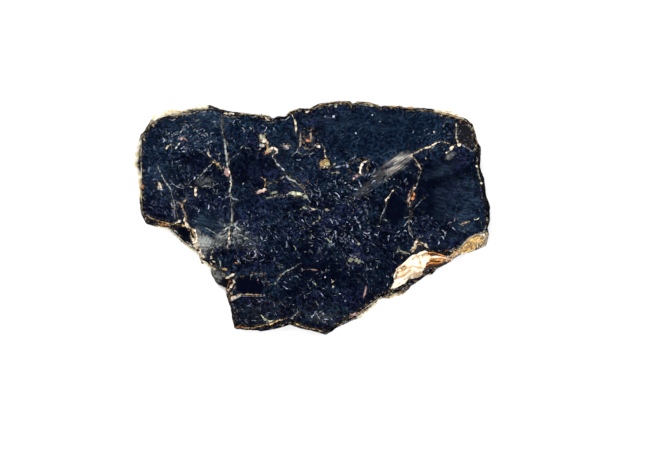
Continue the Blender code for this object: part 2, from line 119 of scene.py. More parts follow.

# ----- Where things are, in millimetres

# Broken edges and veins, weathered colours with painted highlights: (colour, width, brightness, path).
VEINS = [
    # The long crack on the left, its forks, and the scratches round its foot.
    ("grey", 0.36, 1.05, [(-22.6, 26.2), (-22.5, 22), (-21.9, 19.8), (-21.6, 16.5), (-21.1, 12.8),
        (-20.4, 10.5), (-20.2, 9), (-20.6, 6.5), (-20.1, 3.2), (-20, 0), (-20.1, -1.5), (-20.8, -2.8),
        (-20.5, -4), (-20.8, -5.5)]),
    ("lilac", 0.3, 0.6, [(-20.4, 14.5), (-19.8, 15.2), (-18.8, 15.9), (-18, 16.1)]),
    ("cream", 0.5, 1, [(-21, 12.4), (-20.4, 10.4), (-20.1, 8.6), (-20.4, 7.4)]),
    ("grey", 0.3, 0.8, [(-24.8, 13.8), (-26.8, 11.8), (-28, 10.5), (-29, 9.5)]),
    ("gold", 0.8, 1.1, [(-24.9, 14.1), (-24, 13.9), (-23.3, 13.3)]),
    ("cream", 0.55, 0.5, [(-25.9, 16.7), (-25.8, 15.8), (-25.2, 15.1)]),
    ("olive", 0.2, 0.6, [(-25.4, 15.2), (-24.4, 14.4), (-23.4, 13.6), (-22.6, 12)]),
    ("rose", 0.8, 0.8, [(-21.6, 12.6), (-21.4, 11.4), (-20.9, 10.2)]),
    ("grey", 0.3, 1.2, [(-20.6, 6), (-20.1, 3.2), (-20, 0.2), (-20.2, -1.6)]),
    ("cream", 0.4, 0.8, [(-20.5, -2.6), (-20.8, -4.4), (-20.8, -5.8), (-21.4, -8)]),
    ("grey", 0.28, 1.2, [(-22.4, -3.4), (-20.8, -2.2), (-19.6, -1.6), (-18.6, -1.4)]),
    ("grey", 0.26, 1.2, [(-20.3, -1.4), (-19, -2.2), (-17.8, -3.2)]),
    ("grey", 0.2, 0.8, [(-27, -2.2), (-24.6, -3.6), (-22.2, -5)]),
    ("grey", 0.2, 0.8, [(-24.8, -7.2), (-23, -5.6), (-21.2, -3.6)]),
    ("grey", 0.18, 0.9, [(-19.6, -3.6), (-17.4, -4.4), (-15.4, -5.6)]),
    ("grey", 0.28, 0.7, [(-20.2, 5), (-18, 4.4)]),
    ("grey", 0.24, 0.6, [(-20.2, 3.8), (-19, 3.8)]),
    # The crack beside the left rim.
    ("grey", 0.34, 0.9, [(-38.8, 13.6), (-37.8, 11.1), (-36.9, 9.3), (-35.5, 7.5), (-35, 5.4),
        (-34.2, 3.2)]),
    ("lilac", 0.26, 0.7, [(-34.9, 5.2), (-34.3, 3.2), (-34.5, 1.5), (-34.2, -0.3)]),
    # The forked crack that ends at the crumbled block.
    ("tan", 0.4, 1.6, [(-31.1, 5.1), (-32.5, 3.6), (-32.5, 2.8), (-31.5, 0.5), (-31.5, -0.8)]),
    ("cream", 0.6, 0.9, [(-31.8, 1), (-31.8, -0.4), (-31.2, -1.8), (-30.6, -3.2), (-30, -5), (-29.2, -6.4),
        (-28.9, -7.6), (-28.7, -8.6)]),
    ("cream", 1, 1, [(-29.8, -5), (-29, -6.2), (-28.8, -7.4)]),
    ("gold", 0.8, 1, [(-30.2, -2.8), (-29.5, -3.8), (-29.3, -5)]),
    ("cream", 0.4, 1, [(-30.4, -2.4), (-29.2, -3.2), (-28.9, -4.4), (-28.7, -5.6), (-28.7, -6.8)]),
    # The edges of the left shelf and of the ledge below it.
    ("gold", 0.4, 1.1, [(-42.3, 0.5), (-41.2, 0.6), (-40.5, 0.2), (-39.2, -0.4), (-38.5, -0.8), (-37.5, -1),
        (-35.5, -1.4), (-34.2, -1.5), (-31.5, -2), (-30.5, -2.5), (-29.2, -2.9)]),
    ("gold", 0.4, 1, [(-39.5, -2), (-38, -2.4), (-36.8, -2.6), (-35.8, -2.7)]),
    ("orange", 0.5, 0.9, [(-38.8, -1.9), (-37.6, -1.4), (-36.6, -1.9), (-35.8, -1.4)]),
    ("gold", 0.5, 1, [(-38.6, -1.2), (-37.4, -2), (-36.4, -1.3), (-35.4, -2)]),
    ("cream", 0.55, 1, [(-34.3, -1.4), (-33.4, -0.9), (-32.7, -0.6)]),
    ("olive", 0.4, 1, [(-35.8, -2.9), (-34.6, -4.1), (-33.4, -5.1), (-32.4, -6.1), (-31.4, -7),
        (-30.4, -7.7)]),
    ("cream", 0.7, 0.7, [(-32.6, -5.8), (-31.6, -6.4), (-30.6, -7), (-30, -7.2)]),
    # The hooked and zigzag crack near the middle.
    ("cream", 0.5, 0.9, [(-11.3, 16.4), (-10.8, 17.2), (-9.6, 17.5), (-8.6, 17), (-8.7, 16.4), (-9.6, 15.9),
        (-9.8, 15.1)]),
    ("tan", 0.5, 2, [(-11.6, 16), (-10.8, 16.6), (-9.8, 16.8)]),
    ("grey", 0.34, 1.1, [(-9.8, 15.1), (-9.2, 14.5), (-8.8, 13.5), (-7.8, 12.8), (-7, 11.8), (-6.5, 10.8),
        (-5.8, 9.8), (-4.4, 9.2), (-3, 8)]),
    ("cream", 0.6, 0.9, [(-3.4, 8.4), (-2.6, 7.8), (-1.9, 7), (-1.8, 6.3)]),
    ("olive", 1, 1.6, [(-5.8, 6.5), (-4.4, 6), (-2.8, 5.9), (-1.6, 6.3)]),
    ("olive", 0.7, 1, [(-3, 5.5), (-1.8, 5.4), (-0.8, 5)]),
    # The pale pit above it.
    ("cream", 0.5, 0.9, [(-13, 21), (-12.4, 19.9), (-11.2, 18.8), (-12, 18.2), (-12.6, 17.6),
        (-13.2, 17.2)]),
    ("gold", 0.5, 0.9, [(-11.2, 18.8), (-11, 17.2), (-11.4, 16.2)]),
    # The top edge and the right rim.
    ("cream", 0.46, 0.8, [(-6.4, 27), (-5.4, 26.4), (-4.8, 25.2), (-4.2, 24), (-4, 22.5), (-4, 21)]),
    ("cream", 1, 0.8, [(-14, 26), (-12.2, 25.5), (-10.6, 24.3)]),
    ("cream", 0.9, 0.8, [(-1.6, 27.6), (-1.4, 26.8), (-1.2, 26.2)]),
    ("tan", 0.6, 2.2, [(9.9, 29), (9.7, 28.2), (9.5, 27.7)]),
    ("gold", 0.5, 1, [(-1, 27.1), (1, 28.1), (4, 28.8), (8, 29.2), (12, 29), (16, 28.2), (20, 28),
        (26, 27.5), (31, 26.7), (36, 25.6), (39, 24.8), (40.4, 23.4)]),
    ("olive", 0.3, 0.9, [(2, 27.9), (6, 28.5), (10, 28.6), (14, 28.2), (18, 27.4)]),
    ("gold", 0.4, 1, [(41.5, 20), (41.3, 18.6), (40.6, 17.2)]),
    ("olive", 0.3, 0.5, [(41.2, 13.6), (41.6, 11.2), (42.2, 9)]),
    # The tan pits and the ochre one.
    ("grey", 0.24, 0.6, [(-2.9, 21.8), (-2.8, 20), (-3.2, 17.8), (-3.8, 16.8), (-3, 16.1), (-1.8, 15.9),
        (-0.5, 16), (0.8, 16.5), (1, 17.5), (1.8, 18)]),
    ("tan", 0.4, 1.8, [(-0.6, 21.8), (-0.3, 20.4), (-0.4, 18.6)]),
    ("tan", 0.4, 1.8, [(-3, 21), (-2.9, 19), (-3.2, 17.2)]),
    ("cream", 0.7, 1, [(0.8, 18.3), (1.5, 17.7), (2, 18.1)]),
    ("cream", 0.34, 0.9, [(2.5, 18.2), (3.2, 17.5), (3.2, 16.2), (3.5, 15)]),
    ("olive", 0.3, 0.8, [(4.2, 12.2), (5, 12.9), (6, 13.8)]),
    # The short crack right of the middle.
    ("cream", 0.36, 0.9, [(20.8, 7.2), (19.8, 6.5), (19.2, 5.2), (18.5, 4.5), (18.5, 3)]),
    ("grey", 0.26, 0.6, [(18.5, 3), (18, 1.8), (17.2, 0.2), (17, -1)]),
    ("grey", 0.34, 0.7, [(17, -0.2), (18, -0.4), (19, -0.9)]),
    # The broken edge of the right terrace.
    ("cream", 0.34, 0.9, [(24.5, 15.1), (25, 16), (26, 16.4), (27.2, 17.1), (28.5, 17.6), (29.8, 17.9),
        (30.5, 18.5), (31.5, 19), (32.2, 19.2), (33.5, 18.9), (34.5, 18.6)]),
    ("cream", 0.7, 1, [(24.5, 15.2), (25, 15.9), (25.3, 16.2)]),
    ("cream", 0.6, 0.9, [(33.4, 16.2), (34.4, 16.8), (35.2, 17.8), (35.9, 18.4)]),
    ("cream", 0.4, 0.6, [(36.1, 23.8), (36, 22), (36.2, 19.8), (36.6, 18.6)]),
    ("lilac", 0.36, 0.8, [(37.2, 18.5), (38.2, 17.8), (39.5, 17.1), (40.2, 16.6)]),
    ("cream", 0.36, 0.8, [(25.2, 15.5), (26, 14.5), (26.5, 13.2), (27.2, 12.2), (27.4, 11.8)]),
    ("grey", 0.3, 0.6, [(27.4, 11.8), (26.8, 10.5), (26.4, 9), (26, 7.8)]),
    ("cream", 0.42, 0.9, [(26, 7.8), (25, 6.5), (24.5, 5.2), (24, 4.2), (24.5, 3.5), (24.5, 2.5)]),
    ("orange", 0.6, 1, [(25.7, 6.4), (25.3, 5.4), (25.1, 4.4)]),
    ("rose", 0.4, 0.9, [(24.6, 7), (24.2, 5.8), (24, 4.6), (24.8, 3.6)]),
    ("grey", 0.26, 0.6, [(25, 1.2), (24.8, 0), (24.2, -1.5), (24.2, -3), (24.5, -4), (25.2, -4.8),
        (25.8, -5.2)]),
    ("grey", 0.2, 0.5, [(29, 5.8), (27.5, 4.5), (26.2, 3.2), (25.5, 2.2)]),
    # The peak above the pale pocket.
    ("cream", 0.55, 0.7, [(24.4, -8.3), (25.4, -7.4), (26.1, -6), (27.2, -6), (28.4, -6.6), (29.3, -7.8)]),
    ("gold", 0.5, 0.8, [(24.8, -8.8), (25.6, -8), (26, -6.8), (26.9, -6.5), (27.6, -7)]),
    ("olive", 0.34, 0.7, [(21, -8.6), (22, -8.2), (23.4, -8.6), (24.8, -9.2)]),
    # The lobe and the crumbled block at the lower left.
    ("grey", 0.3, 0.7, [(-23.6, -9.6), (-23, -10.9), (-22.8, -12.4), (-22.4, -13.6)]),
    ("cream", 0.5, 0.8, [(-22.6, -13.8), (-22.4, -14.6), (-21.6, -14.9), (-20.8, -14.8), (-20, -14.2),
        (-19, -13.9)]),
    ("gold", 0.5, 0.8, [(-22.6, -12.8), (-21.6, -12.8), (-21.2, -13.2)]),
    ("olive", 0.7, 0.5, [(-25, -12.7), (-24.6, -13.8), (-24.6, -15.2)]),
    ("cream", 0.6, 0.8, [(-24.8, -8), (-25.2, -9.2), (-25, -10.5), (-24, -11.3)]),
    ("cream", 0.9, 0.7, [(-28.8, -5.6), (-28.3, -7.2), (-27.6, -8.9), (-26.9, -10.2)]),
    ("grey", 0.5, 0.9, [(-28.4, -7.7), (-26.8, -7.3), (-25.2, -7.5), (-24, -7), (-22.4, -6.4)]),
    ("gold", 0.7, 1, [(-28.1, -10.4), (-27.6, -11), (-26.6, -11.6), (-25.6, -11.8), (-24.3, -12.1)]),
    ("cream", 0.5, 0.7, [(-28.4, -9), (-28.2, -9.8), (-27.4, -10.6)]),
    # Round the dark patch.
    ("cream", 0.6, 0.9, [(-21.6, -19), (-20.8, -18), (-20.1, -17), (-19.5, -16.2), (-19.6, -15.2)]),
    ("orange", 0.5, 0.8, [(-20.3, -15.4), (-20.9, -16.6), (-21.4, -17.8), (-21.8, -18.8)]),
    ("tan", 0.5, 1, [(-20.6, -19.4), (-19.8, -18.2), (-19.2, -17)]),
    ("grey", 0.32, 0.7, [(-15.4, -15.2), (-15.4, -14.4), (-14.5, -14), (-13, -13.8), (-12.2, -14.1)]),
    ("lilac", 0.3, 1.2, [(-15.8, -9.4), (-15.5, -8.4), (-14.6, -8), (-14, -8.8), (-14.4, -9.8),
        (-15.6, -10)]),
    ("grey", 0.32, 1, [(-3.2, -11.5), (-5.5, -12.9), (-6.8, -13.5), (-7.8, -14.5), (-8.5, -15.5),
        (-9.2, -16.4)]),
    # The lowest block and the bottom edge.
    ("gold", 0.3, 0.8, [(-21.2, -20), (-20, -20), (-19, -19.3), (-18, -19.1), (-13, -19.2)]),
    ("cream", 1, 0.7, [(-20.8, -20.8), (-19.8, -20.1), (-18.6, -19.4)]),
    ("gold", 0.34, 1.1, [(-19.8, -27.4), (-18, -27.4), (-16.5, -27.6), (-15, -27.5), (-13.5, -27.2),
        (-12, -26.7), (-10.5, -26.5), (-9.2, -25.9), (-7.8, -25.4), (-6.2, -25)]),
    ("orange", 0.4, 0.9, [(-19.6, -27.3), (-18, -27.3), (-16.2, -27.5)]),
    ("olive", 0.5, 1.4, [(-12.8, -24.2), (-11.8, -25.3), (-10.4, -25.9), (-9, -25.7)]),
    ("gold", 0.36, 1.2, [(-5.2, -25.9), (-3.8, -26.5), (-2.8, -27), (-1.5, -27.4), (0, -27.6), (1.5, -28),
        (2.8, -28.5), (4, -28.7)]),
    # Strokes, arcs and dashes of the face.
    ("cream", 0.4, 0.9, [(-22.5, 26.2), (-20.5, 26.1), (-17.2, 26)]),
    ("cream", 0.5, 1, [(13.8, 14.2), (12.8, 14), (12.2, 12.8), (12, 11.5), (12.4, 10.8)]),
    ("rose", 0.6, 0.8, [(10.2, 9.6), (11, 10.2), (11.6, 10.8)]),
    ("lilac", 0.26, 0.6, [(12.6, 10.8), (13.2, 10.4), (14, 11.4)]),
    ("olive", 0.42, 0.8, [(-10.4, 6), (-9.6, 6.4), (-8.6, 6.6)]),
    ("olive", 0.26, 0.6, [(-12.2, 5.4), (-11.2, 5), (-9.6, 5.2), (-8.4, 5.9)]),
    ("gold", 0.36, 0.8, [(-12.8, 10.2), (-11.8, 9.6), (-11.6, 8.6), (-11.8, 7.8)]),
    ("cream", 0.85, 0.85, [(-7.4, 18), (-5.3, 17.9)]),
    ("ice", 0.4, 0.9, [(5.8, 12.6), (7.4, 13), (9, 13.3)]),
    ("cream", 0.55, 0.9, [(-14.2, 6.6), (-13.2, 6.8), (-12, 7.1), (-10.8, 7.2)]),
    ("rose", 0.5, 1.1, [(-14, 6.2), (-12.6, 6.6), (-11.2, 6.9)]),
    ("olive", 0.46, 0.7, [(4.8, 11.2), (5.8, 11.5), (7, 11.3)]),
    ("olive", 0.36, 0.9, [(-3, 2.1), (-2.2, 2.6), (-1.2, 2.4)]),
    ("cream", 0.4, 0.8, [(-0.8, 2.9), (0.2, 2.2), (1.2, 2.2)]),
    ("olive", 0.5, 0.7, [(3.2, 2.2), (4.5, 2)]),
    ("olive", 0.36, 0.6, [(1.8, 0.8), (2, -0.4), (0.8, -1), (0, -1.5)]),
    ("rose", 0.26, 0.6, [(-3, -13), (-0.6, -12.8), (1.5, -13.1)]),
    ("cream", 0.45, 0.8, [(-38.5, 7), (-38.3, 8), (-38.2, 9), (-37.7, 7.4)]),
    ("cream", 0.6, 0.9, [(-29.3, 7.4), (-29.2, 6.4), (-29.1, 5.4)]),
    ("grey", 0.26, 0.8, [(-34.2, 8.1), (-33.4, 7.6), (-32.5, 7.4), (-31.8, 7.5)]),
    ("cream", 0.22, 0.6, [(-31, 7.9), (-30.2, 7.8), (-29.4, 7.5), (-28.6, 7.6)]),
    ("grey", 0.24, 0.8, [(-27.6, 7.8), (-26, 7.9), (-24.6, 8.1), (-23.2, 8.8)]),
    ("gold", 0.3, 0.9, [(37.2, -1.6), (38.4, -1.2), (39.5, -0.9)]),
    ("olive", 0.24, 0.6, [(32.8, 22.8), (33.2, 23.8), (34, 24.2)]),
    ("grey", 0.24, 0.5, [(28.2, 20.5), (29.5, 21.2)]),
    ("grey", 0.3, 0.7, [(-5.5, -25.2), (-4.2, -24.2), (-3.2, -23.2)]),
    ("rose", 0.32, 0.7, [(13.6, -16.8), (13.4, -18.2), (12.8, -20)]),
    ("orange", 0.5, 0.7, [(-43, 10), (-42.6, 8.6), (-42.2, 7.2)]),
    ("olive", 0.5, 0.7, [(11.4, -6.2), (11.8, -6.8)]),
    ("olive", 1.1, 0.5, [(9, -10.7), (10.2, -10.3), (11.2, -10.6), (12.4, -11.2)]),
    ("cream", 0.4, 0.8, [(-36.6, 17.2), (-36, 18), (-35.4, 18.4), (-35, 17.4)]),
    ("white", 0.3, 0.8, [(-34.2, 17.2), (-33.4, 18.4), (-32.6, 19.2)]),
    ("rose", 0.6, 1, [(-33, 19.7), (-32, 20), (-31.2, 19.2)]),
    # The lower right margin.
    ("gold", 0.45, 1, [(18.3, -19.9), (19.6, -19.7), (21.2, -19.4), (22.8, -19), (23.6, -18.4)]),
    ("cream", 0.4, 0.8, [(19.4, -18), (19.2, -19), (18.4, -19.6)]),
    ("tan", 0.5, 1.4, [(21, -19), (22.4, -18.4), (23.4, -17.8), (24.8, -17)]),
    ("tan", 0.4, 1.2, [(26.8, -13.9), (28.2, -14.1), (29.4, -14.1)]),
    ("cream", 0.9, 0.8, [(33.4, -10.2), (34.8, -9.6), (36.2, -8.9), (37.6, -8.2)]),
    ("cream", 0.9, 0.9, [(32.2, -10.7), (33.5, -10.2), (34.8, -9.9), (36.2, -9.4)]),
    ("gold", 0.8, 1, [(34, -9.7), (35.6, -8.8), (37.2, -7.9), (38.6, -6.9)]),
    ("orange", 0.4, 0.9, [(35, -9.5), (36.4, -8.4), (37.4, -7.3)]),
    ("cream", 0.34, 0.8, [(11.2, -24.3), (13.5, -23.4), (15, -21.7), (17, -20)]),
    ("rose", 0.8, 0.8, [(9.4, -24.6), (10.7, -23.8), (12, -23.5), (13, -24)]),
    ("olive", 0.5, 1.2, [(12.2, -25), (13.5, -24)]),
    ("grey", 0.34, 0.8, [(7, -27.2), (8, -26), (9, -24.8)]),
]

# Small bright chips: (x, y, size, colour).
CHIPS = [
    (11, 21.1, 0.6, "white"), (15, 25.7, 0.5, "white"), (17, 24.1, 0.5, "white"),
    (5.4, 25.4, 0.6, "white"), (3.4, 25.4, 0.6, "grey"), (5.9, 27.9, 0.7, "olive"),
    (30.5, 21.6, 0.45, "cream"), (7, -18.9, 0.5, "white"), (3.3, -14.8, 0.4, "white"),
    (8.3, -20.8, 0.5, "ice"), (3.5, -13, 0.4, "rose"), (-9.2, -16.2, 0.8, "olive"),
    (-7.9, -14.2, 0.6, "rust"), (5.1, -15.7, 0.9, "cream"), (5.2, -17.1, 0.8, "olive"),
    (-13.5, -15.4, 0.5, "rose"), (16.6, -2, 0.8, "olive"), (-11.5, 16.2, 0.8, "orange"),
    (36.8, 18.4, 1, "cream"), (37, 24, 0.6, "orange"), (38.4, 24.3, 0.8, "rose"),
    (41.2, 13, 0.6, "cream"), (42.3, 8.6, 0.6, "cream"), (43.7, -0.3, 0.8, "cream"),
    (-15, -19.3, 0.8, "rust"), (-13.8, -19.3, 0.8, "rust"), (11.5, 29, 0.6, "cream"),
    (15.2, 28.4, 0.6, "cream"), (9.8, 27.8, 0.5, "cream"), (-33.5, 26.9, 0.8, "orange"),
    (-21.2, 10.6, 0.7, "rose"), (-21.3, 11.8, 0.6, "rose"), (-15.2, 10.1, 0.5, "grey"),
    (-17.2, 8.6, 0.5, "grey"), (-18.9, -11.2, 0.9, "rust"), (-41.6, -0.1, 0.5, "rose"),
    (-36.8, -1.8, 0.5, "cream"), (25.5, 7.6, 0.7, "cream"), (28.4, 14.9, 0.5, "cream"),
    (2.6, 13.5, 1.5, "gold"), (3.5, 14, 1.5, "ochre"), (3, 12.8, 1.2, "cream"),
    (3.9, 13.1, 1.4, "olive"), (-12.4, 20.4, 1.5, "olive"), (-12.1, 19.4, 1.3, "cream"),
    (-12.9, 18.2, 0.8, "grey"), (-1, 19.4, 1, "orange"), (-1.2, 20.4, 0.7, "tan"), (9, 13.1, 0.9, "ice"),
    (-6.4, 18, 0.9, "rose"), (-1.4, 8, 0.7, "rust"), (-1, 9.2, 0.7, "rust"), (15.3, 13.9, 0.5, "lilac"),
    (14.6, 14.6, 0.4, "lilac"),
]

# Swarms of small upturned flakes: (x, y, radius across, radius up, how many, main direction).
SWARMS = [
    (6, 1.5, 9.5, 8.5, 130, -38), (12, -8, 10, 6.5, 80, -40), (-1, -8.5, 10, 6, 60, -35),
    (-31, 19.5, 7, 3.6, 120, 5), (-27, 24.5, 8, 2.4, 40, 0), (-10, -2, 9, 5, 50, -25),
    (27, -3.5, 8, 4.5, 50, 35), (37, -2, 6, 3, 14, 5), (-15.5, -8, 6, 3.5, 40, 30),
    (-29, 3, 7, 7, 40, 60), (-4, -18.5, 12, 4.5, 50, -20), (-36, 8, 6, 8, 36, 70),
    (2, 12, 10, 6, 50, -30), (14, -15, 6, 4, 26, 45), (-16, -23, 6, 3, 30, 0), (1, -25, 4.5, 2, 26, 50),
    (-15, 20, 6, 5, 30, 30), (-24.5, 8, 3, 9, 30, 80), (31, 21, 7, 4, 20, 20), (16, 8, 8, 4, 40, 40),
]

# Stained and crumbled patches: (x, y, radius across, radius up, turn in degrees, colour).
PATCHES = [
    (3.2, 13.5, 1.25, 1.2, 0, "ochre"), (-0.8, 19.6, 1.3, 1.9, 15, "dusk"),
    (-12.3, 19.9, 0.8, 1.1, -20, "cream"), (-31.6, -0.8, 0.5, 1.2, 0, "orange"),
    (-29.2, -5, 0.8, 2.6, 12, "gold"), (-26.3, -11.6, 1.9, 0.5, -20, "gold"),
    (-23.4, -14.8, 1.8, 2.6, 20, "soot"), (-26.4, -10, 1.2, 1.2, 0, "umber"),
    (-22.9, 12.6, 1, 0.6, 20, "cream"), (39, 21.2, 2.4, 3.4, 0, "umber"),
    (-40.8, -0.9, 1.6, 0.4, -8, "umber"), (-16, -24.4, 3.5, 3, 0, "soot"),
    (-4, 19, 0.5, 1.6, 0, "umber"), (36.8, 15.2, 2.2, 1.4, 0, "umber"),
    (29.5, 17.3, 2.8, 0.8, 12, "dusk"), (-13, -23.8, 7.5, 4, 4, "soot"),
    (10.4, -10.6, 2.2, 1, 0, "soot"), (31.2, -10.9, 3, 1.6, -12, "umber"), (14, -21, 3, 1.5, 35, "soot"),
    (2.5, -24, 6, 3, 0, "soot"), (27.2, -8, 1.3, 0.9, -30, "soot"), (22.6, -9.4, 1.6, 0.7, 30, "tan"),
    (36, -8.6, 2.4, 0.9, 35, "umber"), (34, -8.4, 2, 0.7, 0, "umber"),
]

# Parts of the face that look different: (x, y, radius across, radius up, turn, strength).
FROST = [
    (-26.9, -6.2, 2.8, 2.2, 0, 0.78), (-23.8, -6, 4.6, 2.4, 20, 0.42), (-28.6, -4.2, 1.2, 2.4, 0, 0.5),
    (-17.6, -5.6, 7, 3.4, -12, 0.34), (-27, 9.2, 3, 1.6, 10, 0.42), (34.6, 15.6, 2, 1, 35, 0.5),
    (1.5, -24.6, 4.5, 2.2, -10, 0.32), (-15, -22.5, 5, 3, 0, 0.2), (-23.6, -14.6, 1.6, 2.6, 0, 0.6),
    (-30.6, -7.4, 1.8, 0.9, -35, 0.6), (-27.2, -9.2, 1.3, 1.5, 0, 0.5),
]
# Brushed patches: pale scratches, lightened further by painted sheen.
BRUSHED = [
    (21.2, 13.6, 3.3, 1.7, 34, 1), (17.8, 11, 4.4, 1.6, 38, 0.2), (13.2, 7.4, 5.5, 1.2, 38, 0.08),
    (24.2, 15.2, 1.2, 0.6, 30, 0.9),
]
# Painted sheen: lighter blue streaks where the glossy face mirrors light.
SHEEN = [
    (38.8, 1.5, 4, 4.6, 0, 0.9), (37, 3.5, 6, 7, 0, 0.4), (32, 12, 5, 1.6, 20, 0.35),
    (-26, -1, 6, 3, -15, 0.6), (-38, 8, 4, 6, 40, 0.35), (30, -6, 8, 2, 15, 0.3),
    (12, 24, 12, 3, 0, 0.3), (-29, 25, 8, 3, 0, 0.6), (9.5, 27, 4, 2, 0, 0.5), (-5, 13, 4, 8, 20, 0.3),
]
# Bluer, lighter parts of the face: a painted sheen.
TEAL = [
    (20, 21, 17.5, 7.5, -4, 1), (3, 13, 9, 7, 0, 0.55), (39, 1.5, 5, 5.5, 0, 0.6),
    (-40, 14, 4.5, 9, 0, 0.7), (-27, 22, 13, 5.5, 0, 0.9), (-12, 2, 7, 5, 0, 0.4),
    (-6, 22, 7, 5, 0, 0.6), (9.5, 13, 4, 4, 0, 0.8), (-9, -6, 4, 3, 0, 0.5),
]
CLEAN = [
    (-15.8, -16.8, 4.5, 2.5, -10, 1), (20.6, 2.6, 3, 4.8, 10, 0.9), (30.5, 8, 4.5, 8, 0, 0.7),
    (-14, 12, 4, 3.5, 0, 0.5), (17, 21.5, 15, 5.5, 0, 0.6), (2, -13, 9, 4, 0, 0.5),
]
SHADED = [
    (-15.8, -16.8, 4.5, 2.4, -10, 1), (-32, -4.4, 2.6, 1.7, -40, 0.9), (30.5, 8, 4.5, 7, 0, 0.5),
    (21.6, -10.8, 2.4, 2.4, 40, 0.7), (15, -14, 7, 4, 20, 0.6), (2, -13, 9, 4.5, 0, 0.6),
    (20.6, 2.6, 2.6, 4.4, 10, 0.9), (-18, 12, 3, 4, 0, 0.4), (-15.5, -23.5, 5.5, 3.5, 0, 0.4),
    (16, -20, 3.5, 2.5, 35, 0.5), (32, 10, 8, 5, 20, 0.6), (-31, 1, 6, 3, 0, 0.25),
    (24, 5.5, 3, 6, 10, 0.6), (33, 2, 4.5, 4, 0, 0.5), (33.2, 12, 4, 3, 0, 0.6),
    (5, -6.5, 5, 2.5, -20, 0.3), (-29, -1, 3.5, 2, 0, 0.4),
]
BUSY = [
    (6, -1, 12, 9.5, -30, 1), (-31, 19.5, 8.5, 4.6, 0, 1), (-15, -6, 8, 6, 0, 0.6),
    (-30, 5, 10, 9, 0, 0.5), (0, 14, 12, 8, 0, 0.4), (-15, -23.5, 6, 4.5, 0, 0.5),
]
BURST, BURST_REACH = (-20.4, -3.8), 7.5  # where pale scratches radiate from, and how far

# Broken edges show less down the right side and round the lowest block: where that sets in and is full.
SIDE_X, SIDE_TOP, SIDE_FOOT = (38, 41), (18, 16), (-4, -1.5)
BLOCK_X, BLOCK_Y = (8, 5), (-13.5, -15.5)

# The dull facet at the upper right corner.
FACET = [
    (36.5, 23.5), (38.8, 24.8), (40.3, 23.5), (40.8, 21), (40.9, 19), (39.8, 17.8), (37.6, 18.5),
    (36.6, 19),
]

# Thin or crumbled rims, golden with painted light coming through the sheets: (reach, path).
GOLDEN_RIMS = [
    (1.2, [(-43.8, 19), (-44.4, 17), (-44.9, 14.2), (-44.7, 12.3), (-44, 10.5), (-43.8, 8.5)]),
    (0.5, [(-43.7, 8.5), (-43.6, 5), (-43.4, 2)]),
    (1.4, [(-39.5, 25.5), (-37, 26.9), (-34, 27.2)]),
    (1.2, [(-34, 27.3), (-32.5, 27.8), (-29, 28.3), (-27, 28.4)]),
    (0.7, [(31, 27.3), (34.5, 26.7), (37.5, 25.6)]),
    (0.28, [(11.8, -24.8), (13.5, -23.8), (15, -22.4), (17, -20.7), (18.3, -20)]),
    (0.4, [(-38.4, -2), (-35.5, -2.8)]),
    (0.5, [(-35.6, -3.2), (-32.5, -6.2), (-29.3, -8.6)]),
    (0.8, [(-28.4, -9.6), (-28.1, -11), (-26.5, -11.8), (-24.8, -12.4)]),
    (0.4, [(19.5, -20), (22.5, -19)]),
    (0.6, [(-18, 27), (-10.5, 26), (-5, 26.9)]),
]

# The pale filling of the pocket, its creases as (half width, path), sunk and painted with shade, and its
# crumbled foot.
POCKET = [
    (19.5, -17.8), (20.5, -16), (20.3, -14.7), (20.8, -13.6), (21, -12.7), (22.6, -11.5), (23.9, -10.3),
    (25.1, -9.2), (26.2, -9), (27, -8.5), (28, -8.1), (28.9, -8.2), (29.7, -9.4), (29.7, -10.7),
    (28.7, -11.4), (28.4, -12.4), (28, -13.3), (27.2, -14.8), (25.2, -15.3), (24.2, -15.2),
    (23.3, -16.3), (22.3, -16.9), (21.2, -17.5),
]
FOLDS = [
    (0.6, [(20.6, -15.2), (22.2, -14.7), (23.4, -14.2), (24.4, -13.2)]),
    (0.4, [(24, -12.6), (25.2, -12), (26.6, -12.4), (27.6, -12.6)]),
    (0.45, [(24.3, -15.2), (24.7, -14.2), (26, -13.9), (27.2, -13.7), (28.2, -13.1)]),
    (0.3, [(25.6, -14.9), (26.2, -14.4), (27.2, -14.6)]),
    (0.25, [(21.4, -13.6), (22.6, -13.2), (23.8, -12.4)]),
    (0.25, [(26.2, -9.6), (27, -10.4), (27.2, -11.6)]),
    (0.3, [(21.6, -16.6), (22.8, -15.6), (24.2, -14.8)]),
]
CRUMBLED = (26.4, -14.1, 2.6, 1.2, 22)  # x, y, radius across, radius up, turn

# The fibrous golden margin.
TIP = (42.2, 44.2)  # x from which the golden margin darkens towards its tip
FIBROUS = [
    (35, -9.5), (35.8, -9.2), (36.5, -8.7), (37, -8), (37.8, -7.1), (38.5, -6.2), (39, -5.4),
    (39.8, -4.9), (41, -4.5), (42.5, -4.1), (44.9, -3.6), (44.6, -5.2), (43.8, -6.6), (42.8, -7.6),
    (41.4, -7.9), (39.5, -8.6), (38.2, -9.2), (37, -9.9), (35.7, -10.5), (34.7, -10.8),
]

# Sheets that splay out beside the pocket and join at the right: four of their lines, the top one
# first, and the colours of the sheets from top to bottom.
FAN_LINES = [
    [(29, -8.6), (30.6, -8.7), (32, -9.1), (33.6, -9.7), (35.6, -9.9)],
    [(29, -10), (30.8, -9.9), (32.4, -9.9), (34, -10.2), (35.4, -10.3)],
    [(28.2, -11.9), (29.4, -10.9), (31.6, -10.7), (33.4, -10.7), (34.8, -10.8)],
    [(28, -13.5), (29.6, -12.7), (31.2, -12.4), (32.8, -11.8), (34.2, -11.2)],
]
FAN_COLOURS = [
    "amber", "russet", "umber", "umber", "russet", "cream", "cream", "cream", "amber", "russet", "umber",
    "amber", "gold", "amber", "umber", "amber", "russet", "umber", "russet", "umber", "soot",
]

